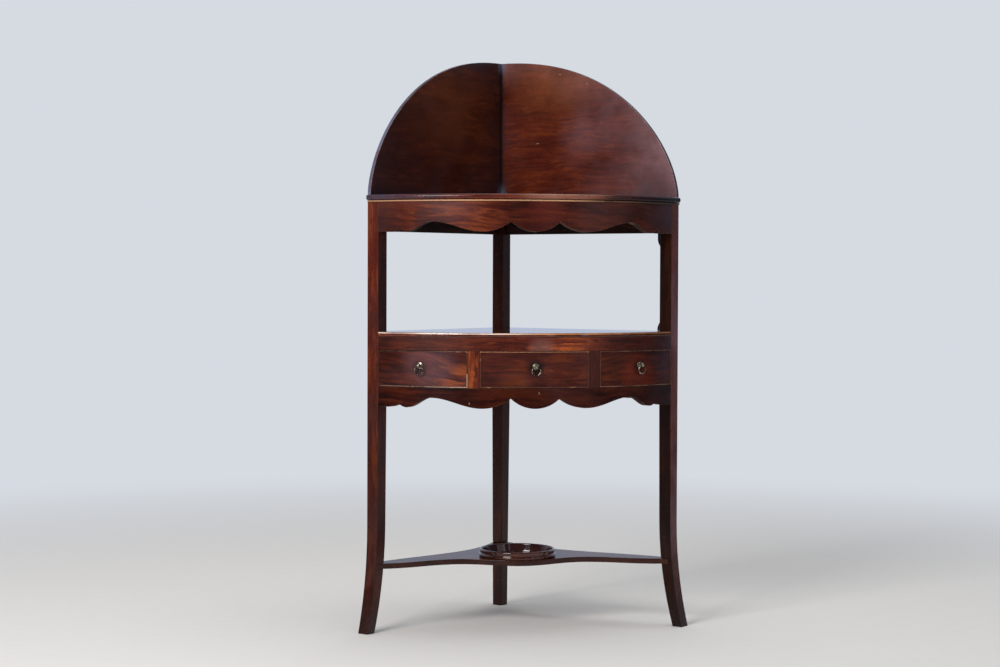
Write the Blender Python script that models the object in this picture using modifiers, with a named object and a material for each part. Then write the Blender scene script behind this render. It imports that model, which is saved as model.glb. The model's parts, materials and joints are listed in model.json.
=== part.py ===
"""Corner table: a mahogany quadrant washstand with an arched gallery, three drawer fronts and an undertier.

Metres, +Z up, the bowed front faces -Y. The table stands on Z = 0 and is symmetric about X = 0.
Its two straight sides meet at the back corner, and its bow is an arc round that corner.
Places on a straight side are given along the wall from the corner, in from the wall, and up.
Places on the bow are given by radius from the corner and by angle from straight ahead, right positive.
A side is -1 on the left and 1 on the right.
"""

from math import asin, ceil, cos, hypot, pi, radians, sin, sqrt

import bmesh
import bpy
from mathutils import Matrix, Vector

# Fits
fit = 0.0003
play = 0.0008
side_play = 0.0015
overrun = 0.012
root = 0.006

# Whole table
width = 0.620
undertier_height = 0.1332
shelf_height = 0.5858
top_height = 0.8512
gallery_height = 0.288

# Legs
post = 0.0271
foot_deep = 0.0215
foot_wide = 0.0245
rear_foot = 0.0222
splay = 0.027
splay_height = 0.205
leg_edge = 0.0010
foot_taper_power = 3
splay_power = 2
leg_station_shares = (0.025, 0.06, 0.12, 0.18, 0.26, 0.34, 0.44, 0.56, 0.70, 0.85, 1.0)

# Rails and side panels
rail_thick = 0.016
side_thick = 0.014
side_inset = 0.001
panel_raise = 0.008
tenon_thick = 0.007
tenon_setback = 0.0045
front_tenon = 0.013
side_tenon = 0.011
tenon_shoulder = 0.005

# Top, its bead and its frieze
top_thick = 0.0105
top_overhang = 0.0040
top_nose = 0.0042
bead_tall = 0.0038
bead_reach = 0.0022
frieze_deep = 0.0617
top_rail_deep = 0.0600

# Gallery
gallery_thick = 0.008
gallery_edge = 0.0012
gallery_spread_power = 2.3
gallery_rise_power = 0.6
tongue_thick = 0.004
tongue_deep = 0.004
tongue_start = 0.014
tongue_stop = 0.030

# Brackets between the front posts and the open stage
bracket_thick = 0.008
bracket_wide = 0.020
bracket_curve_share = 0.1745
upper_lip_share = 0.0616
lower_lip_share = 0.0154

# Middle shelf and drawer stage
shelf_thick = 0.008
shelf_proud = 0.0002
shelf_nose = 0.0014
drawer_rail_deep = 0.0261
opening_tall = 0.0715
apron_deep = 0.0387
opening_wide = 0.2157
divider_wide = 0.0216
divider_tenon = 0.005
divider_tenon_wide = 0.010
dummy_thick = 0.012

# Cockbeads round the three fronts
cockbead_wide = 0.0022
cockbead_proud = 0.0009
cockbead_deep = 0.006

# Scalloped edges: where each feature lies along half of the rail, and how high it rises
scallop_rise = 0.0195
notch_rise = 0.0052
cusp_share = 0.15
lobe_share = 0.325
arch_share = 0.6375
small_lobe_share = 0.8
notch_share = 0.85
end_lobe_share = 0.925
bow_steps = 80

# Drawer
lining = 0.008
side_drop = 0.0012
rear_play = 0.004
lap = 0.010
tail_tip = 0.020
tail_neck = 0.014
tail_shares = (0.27, 0.75)
bottom_raise = 0.006
bottom_thick = 0.005
groove = 0.003
back_thick = 0.007
back_inset = 0.004
back_drop = 0.005
stop_long = 0.010

# Runners, guides and kickers
runner_thick = 0.012
runner_under = 0.006
guide_play = 0.0008
guide_thick = 0.010
guide_tall = 0.014

# Glue blocks
block = 0.012
block_long = 0.120
wall_block_share = 0.65

# Undertier and its ring
undertier_thick = 0.0105
undertier_edge = 0.0014
undertier_inset = 0.001
undertier_housing = 0.005
undertier_proud = 0.0012
ear_long = 0.0175
ear_deep = 0.008
rear_housing = 0.003
dip_depth = 0.2695
dip_across = 0.125
bulge = 0.0425
waist = 0.033
waist_reach = 0.165
ring_centre = 0.234
ring_radius = 0.0772
ring_wall = 0.0100
ring_tall = 0.0155
rim_shares = ((0.20, 0.58), (0.22, 0.46), (0.05, 0.38), (0.0, 0.26), (0.0, 0.0))

# Ring pulls
pull_raise = 0.0065
side_pull_shift = 0.0013
pull_stand = 0.0075
eye_radius = 0.0044
eye_half = 0.0024
eye_hole = 0.0020
eye_edge = 0.0008
neck_radius = 0.0028
shank_radius = 0.0020
shank_spare = 0.0020
rosette_radius = 0.0062
rosette_thick = 0.0018
nut_radius = 0.0050
nut_thick = 0.0030
loop_radius = 0.0084
loop_wire = 0.0011

# Levels and radii that follow from the sizes
top_under = top_height - top_thick
shelf_under = shelf_height - shelf_thick
opening_high = shelf_under - drawer_rail_deep
opening_low = opening_high - opening_tall
apron_low = opening_low - apron_deep
frieze_low = top_under - frieze_deep
top_rail_low = top_under - top_rail_deep
stage_tall = top_rail_low - shelf_height
undertier_low = undertier_height - undertier_thick
reach = width * sqrt(0.5)
face_radius = hypot(reach, post)
back_radius = face_radius - rail_thick
top_radius = reach + top_overhang
panel_in = side_inset + side_thick
front_reach = max(top_radius, face_radius + pull_stand + eye_radius)
corner_y = front_reach / 2
rail_angle = pi / 4 - asin(post / face_radius)
opening_angle = opening_wide / 2 / face_radius
divider_angle = opening_angle + divider_wide / face_radius
pull_level = (opening_low + opening_high) / 2 + pull_raise
drawer_half = back_radius * sin(opening_angle) - side_play
side_in = drawer_half - lining
side_low = opening_low + fit
side_high = opening_high - side_drop
bottom_low = side_low + bottom_raise
bottom_high = bottom_low + bottom_thick
rear_depth = drawer_half + panel_in * sqrt(2) + rear_play
arc_step = radians(2.2)

# Colours, as linear red, green, blue
mahogany = (0.120, 0.032, 0.014)
dark_mahogany = (0.045, 0.015, 0.010)
bead_wood = (0.300, 0.130, 0.050)
oak = (0.300, 0.190, 0.100)
pine = (0.380, 0.250, 0.130)
brass = (0.200, 0.150, 0.080)
steel = (0.180, 0.170, 0.160)


def clear_scene():
    """Removes whatever the file opened with."""
    for old in list(bpy.data.objects):
        bpy.data.objects.remove(old, do_unlink=True)


def new_collection(name):
    """A collection in the scene."""
    group = bpy.data.collections.new(name)
    bpy.context.scene.collection.children.link(group)
    return group


clear_scene()
parts = new_collection("corner_table")
cutters = new_collection("cutters")
table = Matrix.Translation((0, corner_y, 0))


def paint(thing, colour, roughness, metallic):
    """Gives a piece its own material."""
    material = bpy.data.materials.new(thing.name)
    material.use_nodes = True
    shader = material.node_tree.nodes["Principled BSDF"]
    shader.inputs["Base Color"].default_value = (*colour, 1)
    shader.inputs["Roughness"].default_value = roughness
    shader.inputs["Metallic"].default_value = metallic
    thing.data.materials.append(material)


def piece(name, mesh, frame, colour, roughness=0.35, metallic=0.0):
    """One sub-part of the table."""
    thing = bpy.data.objects.new(name, mesh)
    parts.objects.link(thing)
    thing.matrix_world = frame
    paint(thing, colour, roughness, metallic)
    return thing


def tool(name, mesh, frame):
    """A solid that only cuts or joins."""
    thing = bpy.data.objects.new(name, mesh)
    cutters.objects.link(thing)
    thing.matrix_world = frame
    thing.hide_render = True
    thing.display_type = "WIRE"
    return thing


def carve(thing, other, operation="DIFFERENCE"):
    """Cuts, joins or crosses a piece with another solid."""
    step = thing.modifiers.new(other.name, "BOOLEAN")
    step.operation = operation
    step.solver = "EXACT"
    step.object = other


def ease(thing, size, segments=2):
    """Rounds the sharp edges of a piece."""
    step = thing.modifiers.new("eased", "BEVEL")
    step.width = size
    step.segments = segments
    step.limit_method = "ANGLE"
    step.angle_limit = radians(40)
    step.harden_normals = False


def to_mesh(name, bm):
    """Closes a bmesh into a mesh whose faces point out and whose curves shade smooth."""
    bmesh.ops.recalc_face_normals(bm, faces=bm.faces)
    mesh = bpy.data.meshes.new(name)
    bm.to_mesh(mesh)
    bm.free()
    mesh.shade_smooth()
    mesh.set_sharp_from_angle(angle=radians(35))
    return mesh


def box(name, x, y, z):
    """A box between the given ranges."""
    bm = bmesh.new()
    bmesh.ops.create_cube(bm, size=1)
    for vert in bm.verts:
        shares = [value + 0.5 for value in vert.co]
        vert.co = [low + share * (high - low) for share, (low, high) in zip(shares, (x, y, z))]
    return to_mesh(name, bm)


def bow(name, radii, turn, levels, steps=0):
    """A rectangle spun round the back corner, from one angle to the other."""
    steps = steps or max(2, ceil((turn[1] - turn[0]) / arc_step))
    bm = bmesh.new()
    ahead = Vector((sin(turn[0]), -cos(turn[0]), 0))
    near, far = radii
    low, high = levels
    corners = ((near, low), (far, low), (far, high), (near, high))
    face = bm.faces.new([bm.verts.new(ahead * r + Vector((0, 0, z))) for r, z in corners])
    bmesh.ops.spin(
        bm,
        geom=[*face.verts, *face.edges, face],
        cent=(0, 0, 0),
        axis=(0, 0, 1),
        angle=turn[1] - turn[0],
        steps=steps,
        use_duplicate=False,
    )
    return to_mesh(name, bm)


def plate(name, outline, levels):
    """A flat outline filled as a 2D curve and given its thickness between two levels."""
    low, high = levels
    curve = bpy.data.curves.new(name, "CURVE")
    curve.dimensions = "2D"
    curve.fill_mode = "BOTH"
    curve.extrude = (high - low) / 2
    spline = curve.splines.new("POLY")
    spline.points.add(len(outline) - 1)
    for point, (x, y) in zip(spline.points, outline):
        point.co = (x, y, 0, 1)
    spline.use_cyclic_u = True
    flat = bpy.data.objects.new(name, curve)
    cutters.objects.link(flat)
    solid = bpy.data.meshes.new_from_object(flat.evaluated_get(bpy.context.evaluated_depsgraph_get()))
    bpy.data.objects.remove(flat, do_unlink=True)
    bm = bmesh.new()
    bm.from_mesh(solid)
    bmesh.ops.remove_doubles(bm, verts=bm.verts, dist=0.00001)
    bmesh.ops.translate(bm, verts=bm.verts, vec=(0, 0, (low + high) / 2))
    return to_mesh(name, bm)


def turned(name, profile, closed, build, frame, steps, *look):
    """A turned shape: a profile of radius and height, screwed round its own Z axis."""
    bm = bmesh.new()
    verts = [bm.verts.new((r, 0, z)) for r, z in profile]
    for start, end in zip(verts, verts[1:]):
        bm.edges.new((start, end))
    if closed:
        bm.edges.new((verts[-1], verts[0]))
    mesh = bpy.data.meshes.new(name)
    bm.to_mesh(mesh)
    bm.free()
    thing = build(name, mesh, frame, *look)
    screw = thing.modifiers.new("turned", "SCREW")
    screw.axis = "Z"
    screw.angle = 2 * pi
    screw.steps = steps
    screw.render_steps = steps
    screw.use_merge_vertices = True
    screw.merge_threshold = 0.00001
    screw.use_smooth_shade = True
    return thing


def wall(side):
    """The plan frame of one straight side: X along the wall, Z up. Inward is +Y left, -Y right."""
    return table @ Matrix.Rotation(radians(45 * side - 90), 4, "Z")


def upright(side):
    """The frame of one straight side with Y up, for flat outlines that stand in the wall's plane."""
    return wall(side) @ Matrix.Rotation(pi / 2, 4, "X")


def inward(side, near, far):
    """A range in from the wall, as a range along Y of the side's plan frame."""
    return sorted((-side * near, -side * far))


def through(side, near, far):
    """A range in from the wall, as a range along Z of the side's upright frame."""
    return sorted((side * near, side * far))


def facing(angle, radius, level):
    """A frame on the bow: X to the right along the face, Y in towards the corner, Z up."""
    place = Matrix.Translation((radius * sin(angle), -radius * cos(angle), level))
    return table @ place @ Matrix.Rotation(angle, 4, "Z")


def wider(span):
    """A range with the fit added at both ends."""
    return (span[0] - fit, span[1] + fit)


def tenon(name, rail, host, frame, x, y, z):
    """Grows a tenon on a rail and cuts its mortise in the host."""
    carve(rail, tool(name + "_tenon", box(name, x, y, z), frame), "UNION")
    carve(host, tool(name + "_mortise", box(name, wider(x), wider(y), wider(z)), frame))


def side_word(side):
    """The word for a side."""
    return "left" if side < 0 else "right"


# Legs


def clamp(value):
    """A value held between nothing and one."""
    return min(1, max(0, value))


def front_section(level):
    """Inner and outer reach along the wall, and width in from it, of a front leg at a level."""
    taper = clamp(1 - level / apron_low)
    outer = reach + splay * clamp(1 - level / splay_height) ** splay_power
    inner = outer - post + (post - foot_deep) * taper**foot_taper_power
    return inner, outer, post - (post - foot_wide) * taper


def rear_section(level):
    """Inner and outer reach along one wall, and along the other, of the rear leg at a level."""
    size = post - (post - rear_foot) * clamp(1 - level / apron_low)
    return 0, size, size


def leg(name, side, section):
    """A leg in one length: a square baulk bisected at its stations and drawn to its section at each."""
    bm = bmesh.new()
    bmesh.ops.create_cube(bm, size=1)
    for vert in bm.verts:
        vert.co = (vert.co.x + 0.5, vert.co.y + 0.5, (vert.co.z + 0.5) * (top_under - fit))
    for level in [share * splay_height for share in leg_station_shares] + [apron_low]:
        everything = [*bm.verts, *bm.edges, *bm.faces]
        bmesh.ops.bisect_plane(bm, geom=everything, plane_co=(0, 0, level), plane_no=(0, 0, 1))
    for vert in bm.verts:
        inner, outer, wide = section(vert.co.z)
        along = outer if vert.co.x > 0.5 else inner
        across = wide if vert.co.y > 0.5 else 0
        vert.co = (along, -side * across, vert.co.z)
    thing = piece(name, to_mesh(name, bm), wall(side), mahogany)
    ease(thing, leg_edge)
    return thing


front_legs = {side: leg(side_word(side) + "_front_leg", side, front_section) for side in (-1, 1)}
rear_leg = leg("rear_leg", -1, rear_section)
post_tops = (undertier_height + overrun, top_height)
post_spaces = []
for side in (-1, 1):
    along = (reach - post - fit, reach + overrun)
    space = box("post_space", along, inward(side, -overrun, post + fit), post_tops)
    post_spaces.append(tool(side_word(side) + "_post_space", space, wall(side)))
rear_space = box("rear_space", (-overrun, post + fit), (-overrun, post + fit), post_tops)
post_spaces.append(tool("rear_post_space", rear_space, wall(-1)))


# Bowed rails


def half_wave(share, start, end):
    """A smooth S from one height to another as the share goes from nothing to one."""
    return start + (end - start) * (1 - cos(pi * share)) / 2


def lobe(across, half_chord, rise):
    """Height of a round lobe above its lowest point."""
    radius = (half_chord**2 + rise**2) / (2 * rise)
    return radius - sqrt(radius**2 - min(across, half_chord) ** 2)


def scallop(share):
    """Height of the scalloped edge above its lobes, at a share of the way from the middle to a post."""
    half = face_radius * rail_angle
    if share <= cusp_share:
        return lobe(share * half, cusp_share * half, scallop_rise)
    if share <= lobe_share:
        return lobe((lobe_share - share) * half, (lobe_share - cusp_share) * half, scallop_rise)
    if share <= arch_share:
        return half_wave((share - lobe_share) / (arch_share - lobe_share), 0, scallop_rise)
    if share <= small_lobe_share:
        return half_wave((share - arch_share) / (small_lobe_share - arch_share), scallop_rise, 0)
    if share <= notch_share:
        return lobe((share - small_lobe_share) * half, (notch_share - small_lobe_share) * half, notch_rise)
    if share <= end_lobe_share:
        return lobe((end_lobe_share - share) * half, (end_lobe_share - notch_share) * half, notch_rise)
    return 0


def bowed_rail(name, low, high, scalloped):
    """A rail on the bow, trimmed to the front posts and tenoned into them."""
    steps = bow_steps if scalloped else 0
    mesh = bow(name, (back_radius, face_radius), (-rail_angle, rail_angle), (low, high), steps)
    if scalloped:
        for vert in mesh.vertices:
            if vert.co.z < (low + high) / 2:
                angle = asin(vert.co.x / hypot(vert.co.x, vert.co.y))
                vert.co.z += scallop(min(1, abs(angle) / rail_angle))
        mesh.set_sharp_from_angle(angle=radians(35))
    thing = piece(name, mesh, table, mahogany)
    bottom = low + (notch_rise if scalloped else 0) + tenon_shoulder
    for side, space in zip((-1, 1), post_spaces):
        carve(thing, space)
        along = (reach - tenon_setback - tenon_thick, reach - tenon_setback)
        across = inward(side, post - front_tenon, post + root)
        span = (bottom, high - tenon_shoulder)
        tenon(f"{name}_{side_word(side)}", thing, front_legs[side], wall(side), along, across, span)
    return thing


frieze = bowed_rail("top_frieze", frieze_low, top_under - fit, True)
drawer_rail = bowed_rail("drawer_rail", opening_high, shelf_under - fit, False)
apron = bowed_rail("scalloped_apron", apron_low, opening_low, True)


# Straight sides


def side_board(name, side, low, high):
    """A rail or panel along a wall, from the rear leg to a front leg, with a tenon at each end."""
    across = inward(side, side_inset, panel_in)
    mesh = box(name, (post + fit, reach - post - fit), across, (low, high))
    thing = piece(name, mesh, wall(side), dark_mahogany)
    cheek = side_inset + (side_thick - tenon_thick) / 2
    tongue = inward(side, cheek, cheek + tenon_thick)
    span = (low + tenon_shoulder, high - tenon_shoulder)
    front = (reach - post - root, reach - post + side_tenon)
    rear = (post - side_tenon, post + root)
    tenon(name + "_front", thing, front_legs[side], wall(side), front, tongue, span)
    tenon(name + "_rear", thing, rear_leg, wall(side), rear, tongue, span)
    return thing


panel_spaces = {}
for side in (-1, 1):
    side_board("top_rail_" + side_word(side), side, top_rail_low, top_under - fit)
    side_board("side_panel_" + side_word(side), side, apron_low + panel_raise, shelf_under - fit)
    levels = (apron_low - overrun, shelf_under + overrun)
    space = box("panel_space", (-overrun, reach), inward(side, -overrun, panel_in + fit), levels)
    panel_spaces[side] = tool(side_word(side) + "_panel_space", space, wall(side))


# Top, shelf and bead


def nosed_board(name, radius, low, high, nose, inset, colour):
    """A quadrant board: a disc turned with a rounded edge and sawn off along both walls."""
    thick = high - low
    steps = 6
    profile = [(0, high), (radius - nose, high)]
    for step in range(1, steps):
        turn = pi * step / steps
        profile.append((radius - nose + nose * sin(turn), (low + high) / 2 + thick / 2 * cos(turn)))
    profile += [(radius - nose, low), (0, low)]
    thing = turned(name, profile, False, piece, table, 160, colour)
    corner = (inset, radius + overrun)
    saw = box(name, corner, corner, (low - overrun, high + overrun))
    carve(thing, tool(name + "_sides", saw, wall(-1)), "INTERSECT")
    return thing


top_board = nosed_board("top_board", top_radius, top_under, top_height, top_nose, 0, mahogany)
shelf_radius = face_radius + shelf_proud
shelf_sizes = (shelf_radius, shelf_under, shelf_height, shelf_nose, side_inset)
shelf = nosed_board("middle_shelf", *shelf_sizes, mahogany)
for space in post_spaces:
    carve(shelf, space)
bead_span = pi / 4 - asin(bead_reach / face_radius)
bead_levels = (top_under - fit - bead_tall, top_under - fit)
bead_radii = (face_radius + fit, face_radius + bead_reach)
bead_mesh = bow("top_bead", bead_radii, (-bead_span, bead_span), bead_levels)
top_bead = piece("top_bead", bead_mesh, table, bead_wood)
ease(top_bead, bead_tall / 4, 1)


# Gallery


def gallery_outline():
    """The arched outline of one panel, along the wall and up, from below its foot."""
    steps = 40
    outline = [(0, top_height - tongue_deep), (reach, top_height - tongue_deep)]
    for step in range(steps + 1):
        turn = pi / 2 * (1 - step / steps)
        along = reach * sin(turn) ** (2 / gallery_spread_power)
        outline.append((along, top_height + gallery_height * cos(turn) ** (2 * gallery_rise_power)))
    outline[-1] = (0, top_height + gallery_height)
    return outline


def gallery_panel(side):
    """A panel mitred at the corner, with a stopped tongue let into the top board."""
    name = "gallery_" + side_word(side)
    mesh = plate(name, gallery_outline(), through(side, 0, gallery_thick))
    thing = piece(name, mesh, upright(side), dark_mahogany)
    ease(thing, gallery_edge)
    foot = (top_height - tongue_deep - overrun, top_height + fit)
    cheek = (gallery_thick - tongue_thick) / 2
    shoulders = {
        "outer": ((-overrun, reach + overrun), (-overrun, cheek)),
        "inner": ((-overrun, reach + overrun), (gallery_thick - cheek, gallery_thick + overrun)),
        "corner": ((-overrun, tongue_start), (-overrun, gallery_thick + overrun)),
        "end": ((reach - tongue_stop, reach + overrun), (-overrun, gallery_thick + overrun)),
    }
    for word, (along, across) in shoulders.items():
        saw = box(name, along, inward(side, *across), foot)
        carve(thing, tool(f"{name}_{word}_shoulder", saw, wall(side)))
    across = sorted((-side * -fit / 2, -side * gallery_thick * 2))
    mitre = box(name, across, (-gallery_thick * 2, overrun), (0, top_height + gallery_height + overrun))
    carve(thing, tool(name + "_mitre", mitre, table))
    slot_levels = (top_height - tongue_deep - fit, top_height + overrun)
    slot_along = (tongue_start - fit, reach - tongue_stop + fit)
    slot = box(name, slot_along, inward(side, *wider((cheek, gallery_thick - cheek))), slot_levels)
    carve(top_board, tool(name + "_slot", slot, wall(side)))
    return thing


for side in (-1, 1):
    gallery_panel(side)


# Brackets


def bracket(name, side, base, up, lip_share):
    """A shaped bracket behind a front post: a straight lip, then a curve back to the post."""
    steps = 8
    inner = reach - post - fit
    lip = lip_share * stage_tall
    curve = bracket_curve_share * stage_tall
    outline = [(inner, base), (inner - bracket_wide, base)]
    for step in range(steps + 1):
        share = step / steps
        outline.append((inner - half_wave(share, bracket_wide, leg_edge), base + up * (lip + share * curve)))
    outline.append((inner, base + up * (lip + curve)))
    across = through(side, side_inset, side_inset + bracket_thick)
    return piece(name, plate(name, outline, across), upright(side), dark_mahogany)


for side in (-1, 1):
    bracket("upper_bracket_" + side_word(side), side, top_rail_low - fit, -1, upper_lip_share)
    bracket("lower_bracket_" + side_word(side), side, shelf_height + fit, 1, lower_lip_share)


# Fronts, cockbeads and dividers


def front(name, bead_name, turn, levels, thick):
    """A bowed front and the cockbead that lines its edges."""
    edge = (cockbead_wide + fit) / face_radius
    seat = face_radius - cockbead_deep
    low, high = levels
    field_turn = (turn[0] + edge, turn[1] - edge)
    field_levels = (low + cockbead_wide + fit, high - cockbead_wide - fit)
    board = bow(name, (face_radius - thick, seat - fit), turn, levels)
    thing = piece(name, board, table, mahogany)
    field = bow(name, (face_radius - thick / 2 - cockbead_deep / 2, face_radius), field_turn, field_levels)
    carve(thing, tool(name + "_field", field, table), "UNION")
    frame = bow(bead_name, (seat, face_radius + cockbead_proud), turn, levels)
    bead = piece(bead_name, frame, table, bead_wood)
    inner_turn = (turn[0] + cockbead_wide / face_radius, turn[1] - cockbead_wide / face_radius)
    inner_levels = (low + cockbead_wide, high - cockbead_wide)
    hollow = bow(bead_name, (seat - overrun, face_radius + overrun), inner_turn, inner_levels)
    carve(bead, tool(bead_name + "_hollow", hollow, table))
    return thing, bead


front_levels = (opening_low + play, opening_high - play)
drawer_turn = opening_angle - play / face_radius
turn = (-drawer_turn, drawer_turn)
drawer_front, _ = front("drawer_front", "drawer_cockbead", turn, front_levels, rail_thick)
dummy_start = divider_angle + play / face_radius
dummy_end = rail_angle - play / face_radius
dummy_fronts = {}
for side, space in zip((-1, 1), post_spaces):
    turn = sorted((side * dummy_start, side * dummy_end))
    name = side_word(side)
    dummy, bead = front("dummy_front_" + name, "cockbead_" + name, turn, front_levels, dummy_thick)
    dummy_fronts[side] = dummy
    carve(dummy, space)
    carve(bead, space)
    turn = sorted((side * opening_angle, side * divider_angle))
    levels = (opening_low + fit, opening_high - fit)
    upright_mesh = bow("divider", (back_radius, face_radius), turn, levels, 2)
    divider = piece("divider_" + name, upright_mesh, table, mahogany)
    middle = facing(sum(turn) / 2, (back_radius + face_radius) / 2, 0)
    wide = (-divider_tenon_wide / 2, divider_tenon_wide / 2)
    deep = (-tenon_thick / 2, tenon_thick / 2)
    foot = (opening_low - divider_tenon, opening_low + root)
    head = (opening_high - root, opening_high + divider_tenon)
    tenon(divider.name + "_foot", divider, apron, middle, wide, deep, foot)
    tenon(divider.name + "_head", divider, drawer_rail, middle, wide, deep, head)


# Drawer

edge_radii = (back_radius - fit, face_radius + overrun)
drawer_edge = bow("drawer_edge", edge_radii, (-pi / 4, pi / 4), (0, top_height))
front_space = tool("front_space", drawer_edge, table)
side_view = table @ Matrix.Rotation(-pi / 2, 4, "Z") @ Matrix.Rotation(pi / 2, 4, "X")
shoulder = sqrt(back_radius**2 - drawer_half**2)
side_tall = side_high - side_low


def tail_outline(centre, grow):
    """A dovetail seen from the side, ahead and up: narrow at the shoulder and wide at its tip."""
    neck = tail_neck / 2 + grow
    tip = tail_tip / 2 + grow
    ahead = shoulder + lap + grow
    behind = shoulder - root
    return [(behind, centre - neck), (ahead, centre - tip), (ahead, centre + tip), (behind, centre + neck)]


def drawer_side(side):
    """A drawer side with dovetails at the front, and grooves for the bottom and the back."""
    name = "drawer_side_" + side_word(side)
    across = sorted((side * side_in, side * drawer_half))
    mesh = box(name, across, (-face_radius, -rear_depth), (side_low, side_high))
    thing = piece(name, mesh, table, oak, 0.6)
    carve(thing, front_space)
    for number, share in enumerate(tail_shares):
        centre = side_low + share * side_tall
        label = f"{name}_tail_{number}"
        span = sorted((-side * (side_in + fit), -side * (drawer_half - fit)))
        carve(thing, tool(label, plate(label, tail_outline(centre, 0), span), side_view), "UNION")
        open_span = sorted((-side * side_in, -side * (drawer_half + overrun)))
        socket = plate(label, tail_outline(centre, fit), open_span)
        carve(drawer_front, tool(label + "_socket", socket, side_view))
    inner = sorted((side * (side_in - overrun), side * (side_in + groove)))
    run = (-face_radius, -rear_depth + overrun)
    carve(thing, tool(name + "_groove", box(name, inner, run, wider((bottom_low, bottom_high))), table))
    rear = -rear_depth - back_inset
    housing = box(name, inner, wider((rear - back_thick, rear)), (bottom_high, side_high + overrun))
    carve(thing, tool(name + "_housing", housing, table))
    return thing


for side in (-1, 1):
    drawer_side(side)
lip = side_in + groove - fit
back_face = -rear_depth - back_inset
back_levels = (bottom_high + fit, side_high - back_drop)
back_mesh = box("drawer_back", (-lip, lip), (back_face - back_thick, back_face), back_levels)
piece("drawer_back", back_mesh, table, oak, 0.6)
bottom_mesh = box("drawer_bottom", (-lip, lip), (-face_radius, back_face), (bottom_low, bottom_high))
drawer_bottom = piece("drawer_bottom", bottom_mesh, table, oak, 0.6)
bottom_cut = (back_radius + groove - fit, face_radius + overrun)
bottom_edge = bow("bottom_edge", bottom_cut, (-pi / 4, pi / 4), (0, top_height))
carve(drawer_bottom, tool("bottom_edge", bottom_edge, table))
slot_turn = asin((side_in + groove) / back_radius)
slot_radii = (back_radius - overrun, back_radius + groove)
front_slot = bow("front_slot", slot_radii, (-slot_turn, slot_turn), wider((bottom_low, bottom_high)))
carve(drawer_front, tool("front_slot", front_slot, table))


# What the drawer runs on


def bearer(name, side, near, far, low, high, colour=oak):
    """A straight bearer beside the drawer, from the bowed rails back to the side panel."""
    across = sorted((side * near, side * far))
    run = (-back_radius, -(near + far) / 2)
    thing = piece(name, box(name, across, run, (low, high)), table, colour, 0.6)
    carve(thing, front_space)
    carve(thing, panel_spaces[side])
    return thing


guide_near = drawer_half + guide_play
guide_far = guide_near + guide_thick
runner_near = side_in - runner_under
for side in (-1, 1):
    name = side_word(side)
    runner = bearer("runner_" + name, side, runner_near, guide_far, opening_low - runner_thick, opening_low)
    shelf_side = sqrt(back_radius**2 - guide_far**2)
    wide = sorted((side * (runner_near + tenon_shoulder), side * (guide_far - tenon_shoulder)))
    deep = (-shelf_side - rail_thick / 2, -shelf_side + root)
    tall = (opening_low - runner_thick + runner_thick / 4, opening_low - runner_thick / 4)
    tenon("runner_" + name, runner, apron, table, wide, deep, tall)
    bearer("guide_" + name, side, guide_near, guide_far, opening_low + fit, opening_low + fit + guide_tall)
    bearer("kicker_" + name, side, runner_near, guide_far, opening_high, shelf_under - fit)


for side in (-1, 1):
    across = sorted((side * side_in, side * drawer_half))
    behind = -rear_depth + play
    levels = (opening_low + fit, opening_low + fit + guide_tall)
    name = "drawer_stop_" + side_word(side)
    stop = piece(name, box(name, across, (behind, behind + stop_long), levels), table, oak, 0.6)
    carve(stop, panel_spaces[side])


# Glue blocks


def wall_block(name, side, high):
    """A long block in the angle between a board and one straight side."""
    middle = post + wall_block_share * (reach - 2 * post)
    along = (middle - block_long / 2, middle + block_long / 2)
    across = inward(side, panel_in + fit, panel_in + fit + block)
    piece(name, box(name, along, across, (high - block, high)), wall(side), pine, 0.6)


for side in (-1, 1):
    wall_block("top_glue_block_" + side_word(side), side, top_under - fit)
    wall_block("shelf_glue_block_" + side_word(side), side, shelf_under - fit)
    name = "dummy_front_block_" + side_word(side)
    seat = face_radius - dummy_thick
    sag = seat - sqrt((seat - fit) ** 2 - (block / 2) ** 2)
    levels = (opening_low + fit, opening_high - fit)
    corner_turn = divider_angle + (block / 2 + 2 * fit) / back_radius
    upright_block = box(name, (-block / 2, block / 2), (sag, sag + block), levels)
    piece(name, upright_block, facing(side * corner_turn, seat, 0), pine, 0.6)


# Undertier and its ring


def undertier_half():
    """The right half of the outline, from the middle of the front to the back corner, across and ahead."""
    steps = 10
    inner, _, wide = front_section(undertier_height)
    front_edge = wide + undertier_proud
    end_across = (inner - front_edge) * sqrt(0.5)
    end_ahead = (inner + front_edge) * sqrt(0.5)
    points = []
    for step in range(steps + 1):
        share = step / steps
        points.append((share * dip_across, half_wave(share, dip_depth + bulge, dip_depth)))
    for step in range(1, steps + 1):
        share = step / steps
        across = dip_across + share * (end_across - dip_across)
        points.append((across, half_wave(share, dip_depth, end_ahead)))
    ear_tip = inner + ear_long - fit
    ear_back = wide - ear_deep + fit
    end_along = inner + undertier_housing - fit
    edge = [(ear_tip - undertier_edge, front_edge), (ear_tip, front_edge - undertier_edge)]
    edge += [(ear_tip, ear_back), (end_along, ear_back)]
    for step in range(steps + 1):
        share = step / steps
        along = end_along + share * (waist_reach - end_along)
        edge.append((along, undertier_inset + half_wave(share, 0, waist)))
    for step in range(1, steps + 1):
        share = step / steps
        along = waist_reach + share * (rear_foot - waist_reach)
        edge.append((along, undertier_inset + waist * cos(pi / 2 * share)))
    edge.append((undertier_inset, undertier_inset))
    for along, across in edge:
        points.append(((along - across) * sqrt(0.5), (along + across) * sqrt(0.5)))
    return points


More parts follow.
